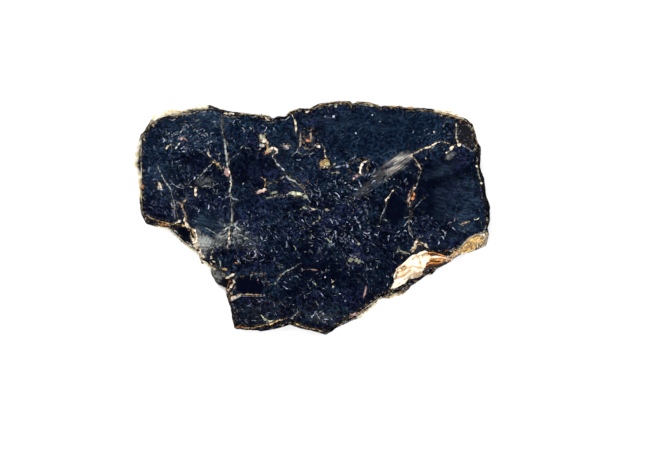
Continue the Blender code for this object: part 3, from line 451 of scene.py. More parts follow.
PALETTE = {
    "white": (0.62, 0.66, 0.68), "ice": (0.2, 0.24, 0.31), "cream": (0.66, 0.55, 0.41),
    "gold": (0.46, 0.3, 0.13), "olive": (0.27, 0.28, 0.19), "grey": (0.23, 0.26, 0.25),
    "lilac": (0.21, 0.21, 0.29), "rose": (0.38, 0.22, 0.2), "orange": (0.396, 0.13, 0.036),
    "umber": (0.0187, 0.0115, 0.00864), "ochre": (0.36, 0.245, 0.0792), "soot": (0.014, 0.013, 0.014),
    "dusk": (0.07, 0.048, 0.03), "tan": (0.144, 0.101, 0.0648), "rust": (0.187, 0.072, 0.0252),
    "amber": (0.58, 0.22, 0.035), "russet": (0.16, 0.035, 0.006),
}


# ----- Repeatable noise and masks


def cell_value(column, row, seed):
    """A repeatable number from 0 to 1 for every whole-numbered cell."""
    mixed = column.astype(np.int64) * 374761393 + row.astype(np.int64) * 668265263
    mixed = (mixed + seed * 974634777) & 0xFFFFFFFF
    mixed = ((mixed ^ (mixed >> 13)) * 1274126177) & 0xFFFFFFFF
    return ((mixed ^ (mixed >> 16)) & 0xFFFFFF) / 0xFFFFFF


def smooth_noise(x, y, size, seed):
    """Smooth noise from 0 to 1 with features of about the given size."""
    u, v = np.asarray(x, float) / size, np.asarray(y, float) / size
    column, row = np.floor(u), np.floor(v)
    s, t = u - column, v - row
    s, t = s * s * (3 - 2 * s), t * t * (3 - 2 * t)
    low = cell_value(column, row, seed) * (1 - s) + cell_value(column + 1, row, seed) * s
    high = cell_value(column, row + 1, seed) * (1 - s) + cell_value(column + 1, row + 1, seed) * s
    return low * (1 - t) + high * t


def rough_noise(x, y, size, seed):
    """Three octaves of smooth_noise, still from 0 to 1."""
    return sum(0.5**k * smooth_noise(x, y, size * 0.5**k, seed + 17 * k) for k in range(3)) / 1.75


def wander(x, y, size, seed):
    """Rough noise from -0.5 to 0.5, to shift a border by."""
    return rough_noise(x, y, size, seed) - 0.5


def ramp(value, low, high):
    """0 below low, 1 above high and smooth between; low may be the larger."""
    t = np.clip((np.asarray(value, float) - low) / (high - low), 0, 1)
    return t * t * (3 - 2 * t)


def in_ellipse(x, y, cx, cy, across, up, turn, fade=CRISP):
    """1 in an ellipse, fading to 0 outside it, with a wandering border."""
    c, s = math.cos(math.radians(turn)), math.sin(math.radians(turn))
    u = ((x - cx) * c + (y - cy) * s) / across
    v = ((y - cy) * c - (x - cx) * s) / up
    away = np.hypot(u, v) + (0.5 * wander(x, y, 1.6, 5) + 0.3 * wander(x, y, 0.5, 6))
    return ramp(away, BORDER + 0.5 * fade, BORDER - 0.5 * fade)


def zone(x, y, ellipses, fade=CRISP):
    """The strongest of a list of ellipses at each point."""
    return reduce(np.maximum, (full * in_ellipse(x, y, *shape, fade) for *shape, full in ellipses))


def inside(x, y, polygon):
    """True where a point is inside a polygon."""
    hit = np.zeros(np.shape(x), bool)
    for (ax, ay), (bx, by) in zip(polygon, polygon[1:] + polygon[:1]):
        if ay == by:
            continue
        crosses = (ay > y) != (by > y)
        hit ^= crosses & (x < (bx - ax) * (y - ay) / (by - ay) + ax)
    return hit


def distance_to_path(x, y, path):
    """Distance from each point to a path."""
    nearest = np.full(np.shape(x), np.inf)
    for (ax, ay), (bx, by) in zip(path, path[1:]):
        dx, dy = bx - ax, by - ay
        t = np.clip(((x - ax) * dx + (y - ay) * dy) / (dx * dx + dy * dy), 0, 1)
        nearest = np.minimum(nearest, np.hypot(x - ax - t * dx, y - ay - t * dy))
    return nearest


def soft_inside(x, y, polygon, fade):
    """1 well inside a polygon, 0 well outside, with a wandering border."""
    gap = distance_to_path(x, y, polygon + polygon[:1])
    gap = np.where(inside(x, y, polygon), gap, -gap)
    return ramp(gap + 0.7 * fade * wander(x, y, 0.9, 8), -fade, fade)


def distances(path):
    """How far along a path each of its points is."""
    return np.concatenate([[0], np.cumsum(np.hypot(*np.diff(path, axis=0).T))])


def at_distances(path, along, places):
    """The points of a path at some distances along it."""
    return np.column_stack([np.interp(places, along, path[:, k]) for k in (0, 1)])


def left_of(heading):
    """Unit vectors to the left of some headings."""
    heading = heading / np.maximum(np.hypot(*heading.T), 1e-6)[:, None]
    return np.column_stack([-heading[:, 1], heading[:, 0]])


# ----- Meshes


def new_object(name, data):
    """An object in the scene that shows some data."""
    obj = bpy.data.objects.new(name, data)
    bpy.context.scene.collection.objects.link(obj)
    return obj


def mesh_object(name, coords, faces, smooth=False):
    """An object that rides on the specimen, from points in millimetres."""
    mesh = bpy.data.meshes.new(name)
    mesh.from_pydata((np.asarray(coords) * MM).tolist(), [], faces)
    mesh.validate()
    mesh.polygons.foreach_set("use_smooth", [smooth] * len(mesh.polygons))
    obj = new_object(name, mesh)
    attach(obj, "root")
    return obj


def put_attributes(obj, **values):
    """Numbers at a mesh's points, for its material to read."""
    for name, numbers in values.items():
        attribute = obj.data.attributes.new(name, "FLOAT", "POINT")
        attribute.data.foreach_set("value", np.asarray(numbers, np.float32))


def put_colour(obj, name, values):
    """Colours at a mesh's points, in the same way."""
    attribute = obj.data.attributes.new(name, "FLOAT_COLOR", "POINT")
    rgba = np.column_stack([values, np.ones(len(values))])
    attribute.data.foreach_set("color", rgba.astype(np.float32).ravel())


def read_points(mesh):
    """A mesh's points as rows, in metres."""
    coords = np.empty(len(mesh.vertices) * 3)
    mesh.vertices.foreach_get("co", coords)
    return coords.reshape(-1, 3)


def put_plan_uv(obj):
    """A flat map seen from above, for baked textures."""
    layer = obj.data.uv_layers.new(name="OFBake")
    plan = read_points(obj.data)[:, :2]
    corners = np.empty(len(obj.data.loops), np.int32)
    obj.data.loops.foreach_get("vertex_index", corners)
    low, high = plan.min(axis=0), plan.max(axis=0)
    uv = 0.01 + 0.98 * (plan[corners] - low) / (high - low).max()
    layer.data.foreach_set("uv", uv.ravel())


class Surface:
    """Heights, in millimetres, of the top of some objects."""

    def __init__(self, objects):
        points, faces, start = [], [], 0
        for obj in objects:
            points += [v.co / MM for v in obj.data.vertices]
            faces += [[i + start for i in p.vertices] for p in obj.data.polygons]
            start = len(points)
        self.tree = BVHTree.FromPolygons(points, faces)

    def heights(self, x, y):
        """The top height at each point, nan where there is nothing."""
        down = Vector((0, 0, -1))
        found = []
        for px, py in zip(np.ravel(x).tolist(), np.ravel(y).tolist()):
            hit = self.tree.ray_cast(Vector((px, py, 20.0)), down)[0]
            found.append(hit.z if hit else math.nan)
        return np.array(found).reshape(np.shape(x))


# ----- The stack of sheets


def welded(mesh):
    """A mesh's points in millimetres with doubles merged, and its triangles."""
    mesh.calc_loop_triangles()
    corners = np.empty(len(mesh.loop_triangles) * 3, np.int32)
    mesh.loop_triangles.foreach_get("vertices", corners)
    merged, which = np.unique(np.round(read_points(mesh) / MM, 4), axis=0, return_inverse=True)
    return merged, which.ravel()[corners].reshape(-1, 3)


def cut_edges(triangle, above):
    """The edge by which a triangle rises through the cut and the one by which it falls."""
    rising = falling = None
    for a, b in zip(triangle, triangle[1:] + triangle[:1]):
        if above[b] and not above[a]:
            rising = (a, b)
        elif above[a] and not above[b]:
            falling = (b, a)
    return rising, falling


def cross_section(points, triangles, z):
    """The closed loops in which a level plane cuts a closed mesh, material on the same side."""
    above = points[:, 2] > z
    side = above[triangles]
    cut = triangles[side.any(axis=1) & ~side.all(axis=1)]
    onward = dict(cut_edges(triangle, above) for triangle in cut.tolist())
    loops = []
    while onward:
        first, edge = onward.popitem()
        keys = [first]
        while edge != first:
            keys.append(edge)
            edge = onward.pop(edge)
        low, high = points[[k[0] for k in keys]], points[[k[1] for k in keys]]
        share = ((z - low[:, 2]) / (high[:, 2] - low[:, 2]))[:, None]
        loops.append((low + share * (high - low))[:, :2])
    return loops


def signed_area(loop):
    x, y = loop.T
    return 0.5 * float(np.sum(x * np.roll(y, -1) - np.roll(x, -1) * y))


def largest(loops):
    return max(loops, key=lambda loop: abs(signed_area(loop)))


def resampled(loop, step):
    """A closed loop with points an even step apart."""
    closed = np.vstack([loop, loop[:1]])
    along = distances(closed)
    count = max(6, int(along[-1] / step))
    return at_distances(closed, along, np.linspace(0, along[-1], count, endpoint=False))


def ragged(loop, way_in, k):
    """A sheet's edge with bites into the material; neighbouring sheets share the slow ones."""
    inward = left_of(np.roll(loop, -1, axis=0) - np.roll(loop, 1, axis=0)) * way_in
    x, y = loop.T
    slow = smooth_noise(x + 0.35 * k, y - 0.2 * k, 1.9, 31 + k // 4)
    fine = smooth_noise(x, y, 0.55, 400 + k)
    bite = EDGE_COARSE * ramp(slow, 0.35, 0.95) + EDGE_FINE * fine
    return loop + inward * bite[:, None]


def filled(loops):
    """Points and triangles that fill a sheet's plan, holes left open."""
    edges, start = [], 0
    for loop in loops:
        ring = np.arange(len(loop)) + start
        edges += np.column_stack([ring, np.roll(ring, -1)]).tolist()
        start += len(loop)
    corners = [Vector(p) for p in np.vstack(loops)]
    coords, _, triangles, *_ = delaunay_2d_cdt(corners, edges, [], 0, 1e-5, False)
    coords, triangles = np.array(coords), np.array(triangles)
    middle = coords[triangles].mean(axis=1)
    within = np.zeros(len(triangles), bool)
    for loop in loops:
        within ^= inside(*middle.T, loop.tolist())
    return coords, triangles[within]


def sheet_loops(points, triangles, z, k):
    """The ragged edge loops of sheet k."""
    loops = cross_section(points, triangles, z)
    loops = [loop for loop in loops if abs(signed_area(loop)) > SMALLEST_SCRAP]
    way_in = 1.0 if signed_area(largest(loops)) > 0 else -1.0
    return [ragged(resampled(loop, EDGE_STEP), way_in, k) for loop in loops]


def stack_levels(height):
    """Bottom and top of every sheet, thin and thick ones mixed."""
    thick = 0.6 + 0.8 * cell_value(np.arange(SHEETS), np.full(SHEETS, 3), 12)
    tops = np.cumsum(thick) * height / thick.sum()
    bottoms = np.concatenate([[0.0], tops[:-1]])
    bottoms[1:] = tops[1:] - (tops[1:] - bottoms[1:]) * SHEET_FILL
    return list(zip(bottoms, tops))


class SheetMesh:
    """Walls and caps of many sheets, gathered for one mesh."""

    def __init__(self):
        self.coords, self.tones, self.walls, self.caps = [], [], [], []
        self.count = 0

    def add_levels(self, plan, levels, tone):
        """A plan's points at two heights; gives the number of the first."""
        first = self.count
        for z in levels:
            self.coords.append(np.column_stack([plan, np.full(len(plan), z)]))
            self.tones.append(np.full(len(plan), tone))
            self.count += len(plan)
        return first

    def add_sheet(self, loops, levels, tone):
        for loop in loops:
            ring = self.add_levels(loop, levels, tone) + np.arange(len(loop))
            after = np.roll(ring, -1)
            self.walls += np.column_stack([ring, after, after + len(loop), ring + len(loop)]).tolist()
        plan, fill = filled(loops)
        fill = fill + self.add_levels(plan, levels, tone)
        self.caps += fill[:, ::-1].tolist() + (fill + len(plan)).tolist()


def widest_loop(points, triangles):
    """The outline of the widest sheet, with fewer points than its edge has."""
    loops = [loop for z in WIDEST_AT for loop in cross_section(points, triangles, z)]
    return resampled(largest(loops), OUTLINE_STEP)


def near_outline(x, y, outline):
    """1 close to the specimen's outline, falling to 0 farther in."""
    return ramp(distance_to_path(x, y, np.vstack([outline, outline[:1]])), *RIM_FADE)


def rim_light(x, y):
    """How brightly broken edges show."""
    side = ramp(x, *SIDE_X) * ramp(y, *SIDE_TOP) * ramp(y, *SIDE_FOOT)
    block = ramp(x, *BLOCK_X) * ramp(y, *BLOCK_Y)
    return 1 - 0.75 * np.maximum(side, 0.8 * block)


def rim_gold(x, y):
    """How golden a point is because the book is thin or crumbled there, with painted light coming through.
    """
    border = 0.9 * wander(x, y, 0.8, 9)
    rims = (ramp(distance_to_path(x, y, path) + border, 1.1 * reach, 0.5 * reach)
            for reach, path in GOLDEN_RIMS)
    return reduce(np.maximum, rims)


def sheet_stack(name, solid, chosen):
    """The sheets whose numbers are in chosen, as one mesh: its walls first, then its caps."""
    points, triangles = welded(solid.data)
    height = points[:, 2].max()
    levels = stack_levels(height)
    sheets = SheetMesh()
    for k in chosen:
        low, high = levels[k]
        loops = sheet_loops(points, triangles, 0.5 * (low + high) + 1e-4, k)
        scaled = low * STACK_TOP / height, high * STACK_TOP / height
        sheets.add_sheet(loops, scaled, cell_value(np.array(k), np.array(1), 77))
    obj = mesh_object(name, np.vstack(sheets.coords), sheets.walls + sheets.caps)
    x, y, z = np.vstack(sheets.coords).T
    near = near_outline(x, y, widest_loop(points, triangles))
    thin = rim_gold(x, y) * ramp(z, 1.3 * THIN_BELOW, THIN_BELOW)
    fibrous = soft_inside(x, y, FIBROUS, 0.7) * ramp(z, *MARGIN_FLOOR)
    put_attributes(
        obj, sheet=np.concatenate(sheets.tones), edge=(0.35 + 0.5 * near) * rim_light(x, y),
        gold=np.maximum(thin, fibrous), frost=zone(x, y, FROST, SOFTEST))
    skins = [0] * len(sheets.walls) + [1] * len(sheets.caps)
    obj.data.polygons.foreach_set("material_index", skins)
    return obj


# ----- The skin


def skin_grid(low, high, step):
    """Grid points over a rectangle, each nudged so that no line of them shows."""
    nx, ny = (int((high[i] - low[i]) / step) + 1 for i in range(2))
    column, row = np.meshgrid(np.arange(nx), np.arange(ny))
    x = low[0] + step * (column + NUDGE * (cell_value(column, row, 1) - 0.5))
    y = low[1] + step * (row + NUDGE * (cell_value(column, row, 2) - 0.5))
    return x, y


def relief(x, y):
    """Slow swells and faint steps of the cleavage face."""
    swell = rough_noise(x, y, 9.0, 51) + 0.3 * rough_noise(x + 0.4 * y, y, 2.2, 52)
    steps = np.floor(5 * rough_noise(x, 0.6 * y, 6.0, 53)) / 5
    return RELIEF * (swell + 0.8 * steps)


def cell_corners(grid):
    """The four corners of each cell, in order round it, along a new last axis."""
    return np.stack([grid[:-1, :-1], grid[:-1, 1:], grid[1:, 1:], grid[1:, :-1]], axis=-1)


def grid_faces(keep):
    """Quads of the cells that are kept, and the grid points that they use."""
    rows, columns = keep.shape[0] + 1, keep.shape[1] + 1
    faces = cell_corners(np.arange(rows * columns).reshape(rows, columns))[keep]
    used, packed = np.unique(faces, return_inverse=True)
    return used, packed.reshape(-1, 4)


def flat_cells(z, cliff=CLIFF):
    """Cells all of whose corners are found and lie close to one level."""
    corners = cell_corners(z)
    with np.errstate(invalid="ignore"):
        return np.isfinite(corners).all(axis=-1) & (np.ptp(corners, axis=-1) < cliff)


def neighbours(z, best):
    """The highest or the lowest of every grid point and the eight round it."""
    for axis in (0, 1):
        z = best(best(z, np.roll(z, 1, axis)), np.roll(z, -1, axis))
    return z


def bridged(z):
    """Heights with narrow cracks filled to just below the face."""
    closed = np.where(np.isfinite(z), z, -1.0)
    for best in (np.maximum, np.maximum, np.minimum, np.minimum):
        closed = neighbours(closed, best)
    return np.where(np.isfinite(z), np.maximum(z, closed - CRACK_SHOWS), z)


def spread(cells, fades):
    """1 at grid points that touch a marked cell, fading over as many points as there are fades."""
    reached = cell_corners(np.pad(cells, 1, constant_values=True)).any(axis=-1)
    near = reached.astype(float)
    for fade in fades:
        grown = reached.copy()
        for axis in (0, 1):
            grown |= np.roll(reached, 1, axis) | np.roll(reached, -1, axis)
        near[grown & ~reached] = fade
        reached = grown
    return near


def near_steps(x, y, z):
    """How close a grid point is to a broken edge: the rim counts fully and a step in part."""
    rim = spread(~flat_cells(np.where(np.isfinite(z), 0.0, math.nan)), (0.6,))
    body = spread(~flat_cells(np.where(z > THIN_BELOW, 0.0, math.nan)), (0.5,))
    step = spread(~flat_cells(z), (0.3,))
    return np.maximum(np.maximum(rim, 0.8 * body), 0.4 * step) * rim_light(x, y)


def painted_vein_glow(x, y):
    """Painted glow: how strongly a point is lit up by the veins close by."""
    halos = (0.3 * bright * ramp(distance_to_path(x, y, path), 0.3 + 1.2 * width, 0.1)
             for _, width, bright, path in VEINS)
    return reduce(np.maximum, halos)


def patch_colour(x, y):
    """Stain colour and how much of it there is at each point."""
    colour, amount = np.zeros((len(x), 3)), np.zeros_like(x)
    crumbling = ramp(rough_noise(x, y, 0.6, 21), 0.2, 0.6)
    for *shape, name in PATCHES:
        strength = in_ellipse(x, y, *shape) * crumbling
        colour[strength > amount] = PALETTE[name]
        amount = np.maximum(amount, strength)
    return colour, amount


def burst(x, y):
    """Pale scratches that fan out around one spot, as an amount from 0 to 1."""
    dx, dy = x - BURST[0], y - BURST[1]
    away, turn = np.hypot(dx, 1.25 * dy), np.arctan2(dy, dx)
    fine = smooth_noise(17.0 * turn, 0.6 * away, 0.8, 61)
    broad = smooth_noise(4.0 * turn, 0.5 * away, 0.8, 62)
    return np.clip(ramp(away, BURST_REACH, 0.3) * (0.06 + 1.6 * (fine * broad)), 0, 1)


def paint_face(obj, x, y, edge):
    """What the face's material reads at each of its points."""
    colour, amount = patch_colour(x, y)
    put_attributes(
        obj,
        frost=np.maximum(zone(x, y, FROST, SOFTEST), burst(x, y)),
        brushed=zone(x, y, BRUSHED, SOFT),
        sheen=zone(x, y, SHEEN, SOFT),
        shade=zone(x, y, SHADED),
        facet=soft_inside(x, y, FACET, 0.3),
        teal=zone(x, y, TEAL),
        busy=0.5 + 0.5 * zone(x, y, BUSY) - 0.45 * zone(x, y, CLEAN),
        edge=edge,
        halo=painted_vein_glow(x, y),
        gold=np.maximum(rim_gold(x, y), soft_inside(x, y, FIBROUS, 0.5)),
        stained=amount)
    put_colour(obj, "stain", colour)


def cleavage_face(surface, low, high):
    """The skin on everything that faces up."""
    x, y = skin_grid(low, high, SKIN_STEP)
    z = bridged(surface.heights(x, y))
    used, faces = grid_faces(flat_cells(z))
    x, y, z, edge = (values.ravel()[used] for values in (x, y, z, near_steps(x, y, z)))
    coords = np.column_stack([x, y, z + SKIN_LIFT + relief(x, y)])
    obj = mesh_object("cleavage_face", coords, faces.tolist(), smooth=True)
    paint_face(obj, x, y, edge)
    put_plan_uv(obj)
    return obj


# ----- Ribbons: veins, flecks and the sheets of the fan


def along_path(path, step):
    """Points an even step apart along an open path, and unit vectors to its left."""
    path = np.asarray(path, float)
    along = distances(path)
    count = max(2, int(round(along[-1] / step)) + 1)
    points = at_distances(path, along, np.linspace(0, along[-1], count))
    return points, left_of(np.gradient(points, axis=0))


def gentle_runs(z):
    """The stretches of a path on which the heights are known and nowhere fall away."""
    gentle = np.abs(np.diff(z)) < RIBBON_DROP
    runs = np.split(np.arange(len(z)), np.flatnonzero(~gentle) + 1)
    return [run for run in runs if len(run) > 1]


def strip_faces(n, start):
    """Quads between three rows of n points each, which are numbered from start."""
    first = start + np.concatenate([np.arange(n - 1), np.arange(n, 2 * n - 1)])
    return np.column_stack([first + n, first + n + 1, first + 1, first]).tolist()


class Ribbons:
    """Many thin raised strips gathered into one mesh."""

    def __init__(self):
        self.coords, self.faces, self.colours = [], [], []
        self.count = 0

    def lay(self, points, reach, z, lifts, colour, light):
        """A strip along points, reach to either side of them, broken off where the heights z fall.

        The lifts are what its left edge, its crest and its right edge add to z.
        """
        plans = points + reach, points, points - reach
        rows = [np.c_[plan, z + lift] for plan, lift in zip(plans, lifts)]
        colours = np.clip(np.array(PALETTE[colour]) * light[:, None], 0, BRIGHTEST)
        for run in gentle_runs(z):
            self.coords += [row[run] for row in rows]
            self.colours += [colours[run]] * 3
            self.faces += strip_faces(len(run), self.count)
            self.count += 3 * len(run)

    def piece(self, name, smooth=False):
        obj = mesh_object(name, np.vstack(self.coords), self.faces, smooth)
        put_colour(obj, "tint", np.vstack(self.colours))
        return obj


def lay_vein(ribbons, surface, path, width, colour, bright, seed, rise=RIBBON_RISE):
    """A ragged strip along a path on the surface, broken up where the noise is low."""
    points, side = along_path(path, RIBBON_STEP)
    swerve = 0.5 * width * (smooth_noise(*points.T, 0.7, seed) - 0.5)
    fullness = 0.2 + 1.25 * ramp(smooth_noise(*points.T, 0.42, seed + 1), 0.25, 0.75)
    points = points + side * swerve[:, None]
    t = np.linspace(0, 1, len(points))
    half = 0.5 * width * fullness * np.clip(4 * np.minimum(t, t[::-1]) + 0.2, 0, 1)
    crest = rise * (0.4 + smooth_noise(*points.T, 0.3, seed + 2))
    # Painted highlight that comes and goes along the strip.
    light = bright * (0.30 + 1.3 * smooth_noise(*points.T, 0.4, seed + 3))
    lifts = -RIBBON_SINK, crest, -RIBBON_SINK
    ribbons.lay(points, side * half[:, None], surface.heights(*points.T), lifts, colour, light)


def chip_path(i, x, y, size):
    """A short straight path through a chip's middle, turned by its number."""
    turn = CHIP_TURN * float(cell_value(np.array(i), np.array(5), 3))
    dx, dy = 0.5 * size * math.cos(turn), 0.5 * size * math.sin(turn)
    return [(x - dx, y - dy), (x, y), (x + dx, y + dy)]


def veins(surface):
    """The veins and the small chips, as one piece."""
    ribbons = Ribbons()
    for i, (colour, width, bright, path) in enumerate(VEINS):
        lay_vein(ribbons, surface, path, width, colour, bright, 900 + 7 * i)
    for i, (x, y, size, colour) in enumerate(CHIPS):
        lay_vein(ribbons, surface, chip_path(i, x, y, size), 0.8 * size, colour, 1.0, 5000 + 5 * i)
    return ribbons.piece("veins")


def fleck_path(rng, cx, cy, across, up, direction):
    """A short bent path somewhere in a swarm's ellipse."""
    reach, angle = math.sqrt(rng.random()), math.tau * rng.random()
    x, y = cx + across * reach * math.cos(angle), cy + up * reach * math.sin(angle)
    heading = math.radians(direction + rng.normal(0, 30))
    length = rng.uniform(0.5, 2.2) * rng.uniform(0.5, 1.0)
    bend = rng.normal(0, 1.3)
    path = [(x, y)]
    for _ in range(FLECK_PARTS):
        heading += bend / FLECK_PARTS
        x += length / FLECK_PARTS * math.cos(heading)
        y += length / FLECK_PARTS * math.sin(heading)
        path.append((x, y))
    return path


def swarm_flecks(surface):
    """Small curved flakes, in swarms, whose upturned edges are pale."""
    ribbons = Ribbons()
    rng = np.random.default_rng(FLECK_SEED)
    for *ellipse, count, direction in SWARMS:
        for _ in range(count):
            path = fleck_path(rng, *ellipse, direction)
            luck = rng.random()
            bright = (0.15 + luck**2.2 + luck**16) * (1 - 0.9 * zone(*path[-1], SHADED))
            width = rng.uniform(0.14, 0.30)
            seed = int(rng.integers(1000000))
            hue = FLECK_HUES[seed % len(FLECK_HUES)]
            lay_vein(ribbons, surface, path, width, hue, bright, seed, FLECK_RISE)
    return ribbons.piece("swarm_flecks")


def highest_across(surface, points, reach):
    """Smooth heights along a strip that clear the surface under it."""
    under = [surface.heights(*(points + share * reach).T) for share in (-1, -0.5, 0, 0.5, 1)]
    z = np.nan_to_num(np.array(under), nan=0.0).max(axis=0)
    for _ in range(3):
        z = np.maximum(z, np.convolve(np.pad(z, 2, mode="edge"), np.full(5, 0.2), mode="valid"))
    return z


def fan_sheets(surface):
    """The sheets that splay out beside the pocket and join at the right."""
    ribbons = Ribbons()
    lines = np.array(FAN_LINES)
    places = np.linspace(0, len(lines) - 1, len(FAN_COLOURS))
    for i, (place, colour) in enumerate(zip(places, FAN_COLOURS)):
        above = min(int(place), len(lines) - 2)
        path = lines[above] + (place - above) * (lines[above + 1] - lines[above])
        points, side = along_path(path, FAN_STEP)
        t = np.linspace(0, 1, len(points))
        points = points + side * (0.35 * (smooth_noise(3 * t, 0 * t, 0.8, 70 + i) - 0.5))[:, None]
        half = FAN_WIDTH * (0.35 + smooth_noise(t, 0 * t, 0.16, 60 + i)) * (1 - 0.45 * t)
        reach = side * half[:, None]
        z = np.minimum(highest_across(surface, points, reach) + FAN_GAP * (1 + i % 3), FAN_TOP)
        light = 0.65 + 0.9 * smooth_noise(t, 0 * t, 0.08, 80 + i)
        ribbons.lay(points, reach, z, FAN_LIFTS, colour, light)
    return ribbons.piece("fan_sheets", smooth=True)


# ----- The pale pocket and the golden margin


def smoothed(z, rounds):
    """Heights averaged with their neighbours again and again."""
    for _ in range(rounds):
        around = np.roll(z, 1, 0) + np.roll(z, -1, 0) + np.roll(z, 1, 1) + np.roll(z, -1, 1)
        z = 0.5 * z + 0.125 * around
    return z


def draped(name, surface, outline, rounds, relief_at, cliff):
    """A smooth skin over everything inside an outline, with relief_at added to its heights.

    It is broken off where a cell falls by more than cliff.
    """
    corners = np.array(outline)
    x, y = skin_grid(corners.min(axis=0) - 0.6, corners.max(axis=0) + 0.6, FILLING_STEP)
    z = surface.heights(x, y)
    on_stone = ramp(spread(~np.isfinite(z)[:-1, :-1], (0.6, 0.2)), 1.0, 0.0)
    body = soft_inside(x, y, outline, 0.25) * on_stone
    z = np.where(np.isfinite(z), z, np.nanmin(z))
    z = np.maximum(smoothed(z, rounds), z - 0.1)
    height, mark = relief_at(x, y)
    z = np.minimum(z + height - SKIRT * (1 - body), FILLING_TOP)
    within = body > FILLING_FROM
    keep = within[:-1, :-1] & within[1:, 1:] & flat_cells(z, cliff)
    used, faces = grid_faces(keep)
    x, y, z, mark, body = (values.ravel()[used] for values in (x, y, z, mark, body))
    obj = mesh_object(name, np.column_stack([x, y, z]), faces.tolist(), smooth=True)
    put_attributes(obj, fold=mark, rim=1 - ramp(body, 0.2, 0.8))
    put_plan_uv(obj)
    return obj


def pocket_relief(x, y):
    """Swollen folds of the pale filling, and where the creases and crumbs between them are."""
    border = 0.3 * wander(x, y, 0.8, 73)
    fold = in_ellipse(x, y, *CRUMBLED, 1.2) * ramp(rough_noise(x, y, 0.5, 76), 0.36, 0.54)
    for width, path in FOLDS:
        fold = np.maximum(fold, ramp(distance_to_path(x, y, path) + border, width, 0.1 * width))
    across = 0.69 * x - 0.72 * y
    height = 0.45 + 0.22 * rough_noise(across, 0.3 * (x + y), 1.3, 71)
    return height + 0.08 * rough_noise(x, y, 0.4, 72) - 0.4 * fold, fold


def fibre_relief(x, y):
    """Splintered fibres of the golden margin, and the dark gaps between them."""
    along, across = 0.80 * x + 0.60 * y, 0.80 * y - 0.60 * x
    fibres = rough_noise(0.25 * along, across, 0.55, 74)
    gaps = ramp(rough_noise(0.4 * along, across, 0.9, 75), 0.60, 0.74)
    return 0.2 + 0.4 * fibres - 0.3 * gaps, np.maximum(gaps, 0.8 * ramp(x, *TIP))


# ----- Materials

MICA_IOR = 1.58


class Graph:
    """Short-hand for a material's nodes."""

    def __init__(self, name):
        self.material = bpy.data.materials.new(name)
        self.material.use_nodes = True
        self.nodes = self.material.node_tree.nodes
        self.links = self.material.node_tree.links
        self.shader = self.nodes["Principled BSDF"]

    def node(self, kind, **settings):
        node = self.nodes.new(kind)
        for key, value in settings.items():
            setattr(node, key, value)
        return node

    def feed(self, socket, value):
        if isinstance(value, bpy.types.NodeSocket):
            self.links.new(value, socket)
        elif isinstance(value, tuple) and len(value) == 3 and socket.type == "RGBA":
            socket.default_value = (*value, 1.0)
        else:
            socket.default_value = value

    def wire(self, node, output, **inputs):
        """Feeds a node's inputs, whose names have _ for a space, and gives one of its outputs."""
        for key, value in inputs.items():
            self.feed(node.inputs[key.replace("_", " ")], value)
        return node.outputs[output]

    def coords(self, stretch, turn, seed):
        """Object coordinates in millimetres, drawn out by stretch along a direction in the plan."""
        where = self.node("ShaderNodeTexCoord").outputs["Object"]
        mapping = self.node("ShaderNodeMapping", vector_type="TEXTURE")
        return self.wire(
            mapping, "Vector", Vector=where, Location=(0.37 * seed, 0.53 * seed, 0.0),
            Rotation=(0, 0, math.radians(turn)), Scale=tuple(s * MM for s in stretch))

    def noise(self, size, detail=3.0, rough=0.55, stretch=(1, 1, 1), turn=0.0, warp=0.0, seed=0):
        """Noise with features of about size, in millimetres."""
        return self.wire(
            self.node("ShaderNodeTexNoise"), "Fac", Vector=self.coords(stretch, turn, seed),
            Scale=1.0 / size, Detail=detail, Roughness=rough, Distortion=warp)

    def attribute(self, name, output="Fac"):
        return self.node("ShaderNodeAttribute", attribute_name=name).outputs[output]

    def ramp(self, value, low, high, to_low=0.0, to_high=1.0):
        return self.wire(
            self.node("ShaderNodeMapRange", interpolation_type="SMOOTHSTEP"), "Result",
            Value=value, From_Min=low, From_Max=high, To_Min=to_low, To_Max=to_high)

    def patches(self, size, low, high, to_low=0.0, to_high=1.0, **noise):
        """Soft-edged patches: noise that is ramped between two levels."""
        return self.ramp(self.noise(size, **noise), low, high, to_low, to_high)

    def math(self, operation, a, b=0.0):
        node = self.node("ShaderNodeMath", operation=operation)
        self.feed(node.inputs[0], a)
        self.feed(node.inputs[1], b)
        return node.outputs["Value"]

    def times(self, *factors):
        """The product of some sockets and numbers."""
        return reduce(lambda a, b: self.math("MULTIPLY", a, b), factors)

    def mix(self, share, a, b):
        return self.wire(self.node("ShaderNodeMix", data_type="RGBA"), "Result", Factor=share, A=a, B=b)

    def over(self, base, colour, *factors):
        """A colour laid over a base, as strongly as the product of the factors."""
        return self.mix(self.times(*factors), base, colour)

    def worms(self, size, width, stretch, turn, seed, share):
        """Short winding strokes: the middle contours of one noise, broken up by another."""
        winding = self.noise(size, detail=1.0, stretch=stretch, turn=turn, warp=0.7, seed=seed)
        off = self.math("ABSOLUTE", self.math("SUBTRACT", winding, 0.5))
        broken = self.patches(0.75 * size, 1 - share, 1.12 - share, detail=2.0, seed=seed + 5)
        return self.times(self.ramp(off, 0.0, width, 1.0, 0.0), broken)

    def bump(self, height, depth, **normal):
        """A bump whose height runs from 0 to 1 over the given depth in millimetres."""
        bump = self.node("ShaderNodeBump")
        return self.wire(bump, "Normal", Strength=1.0, Distance=depth * MM, Height=height, **normal)

    def set(self, **inputs):
        self.wire(self.shader, "BSDF", **inputs)
        return self.material


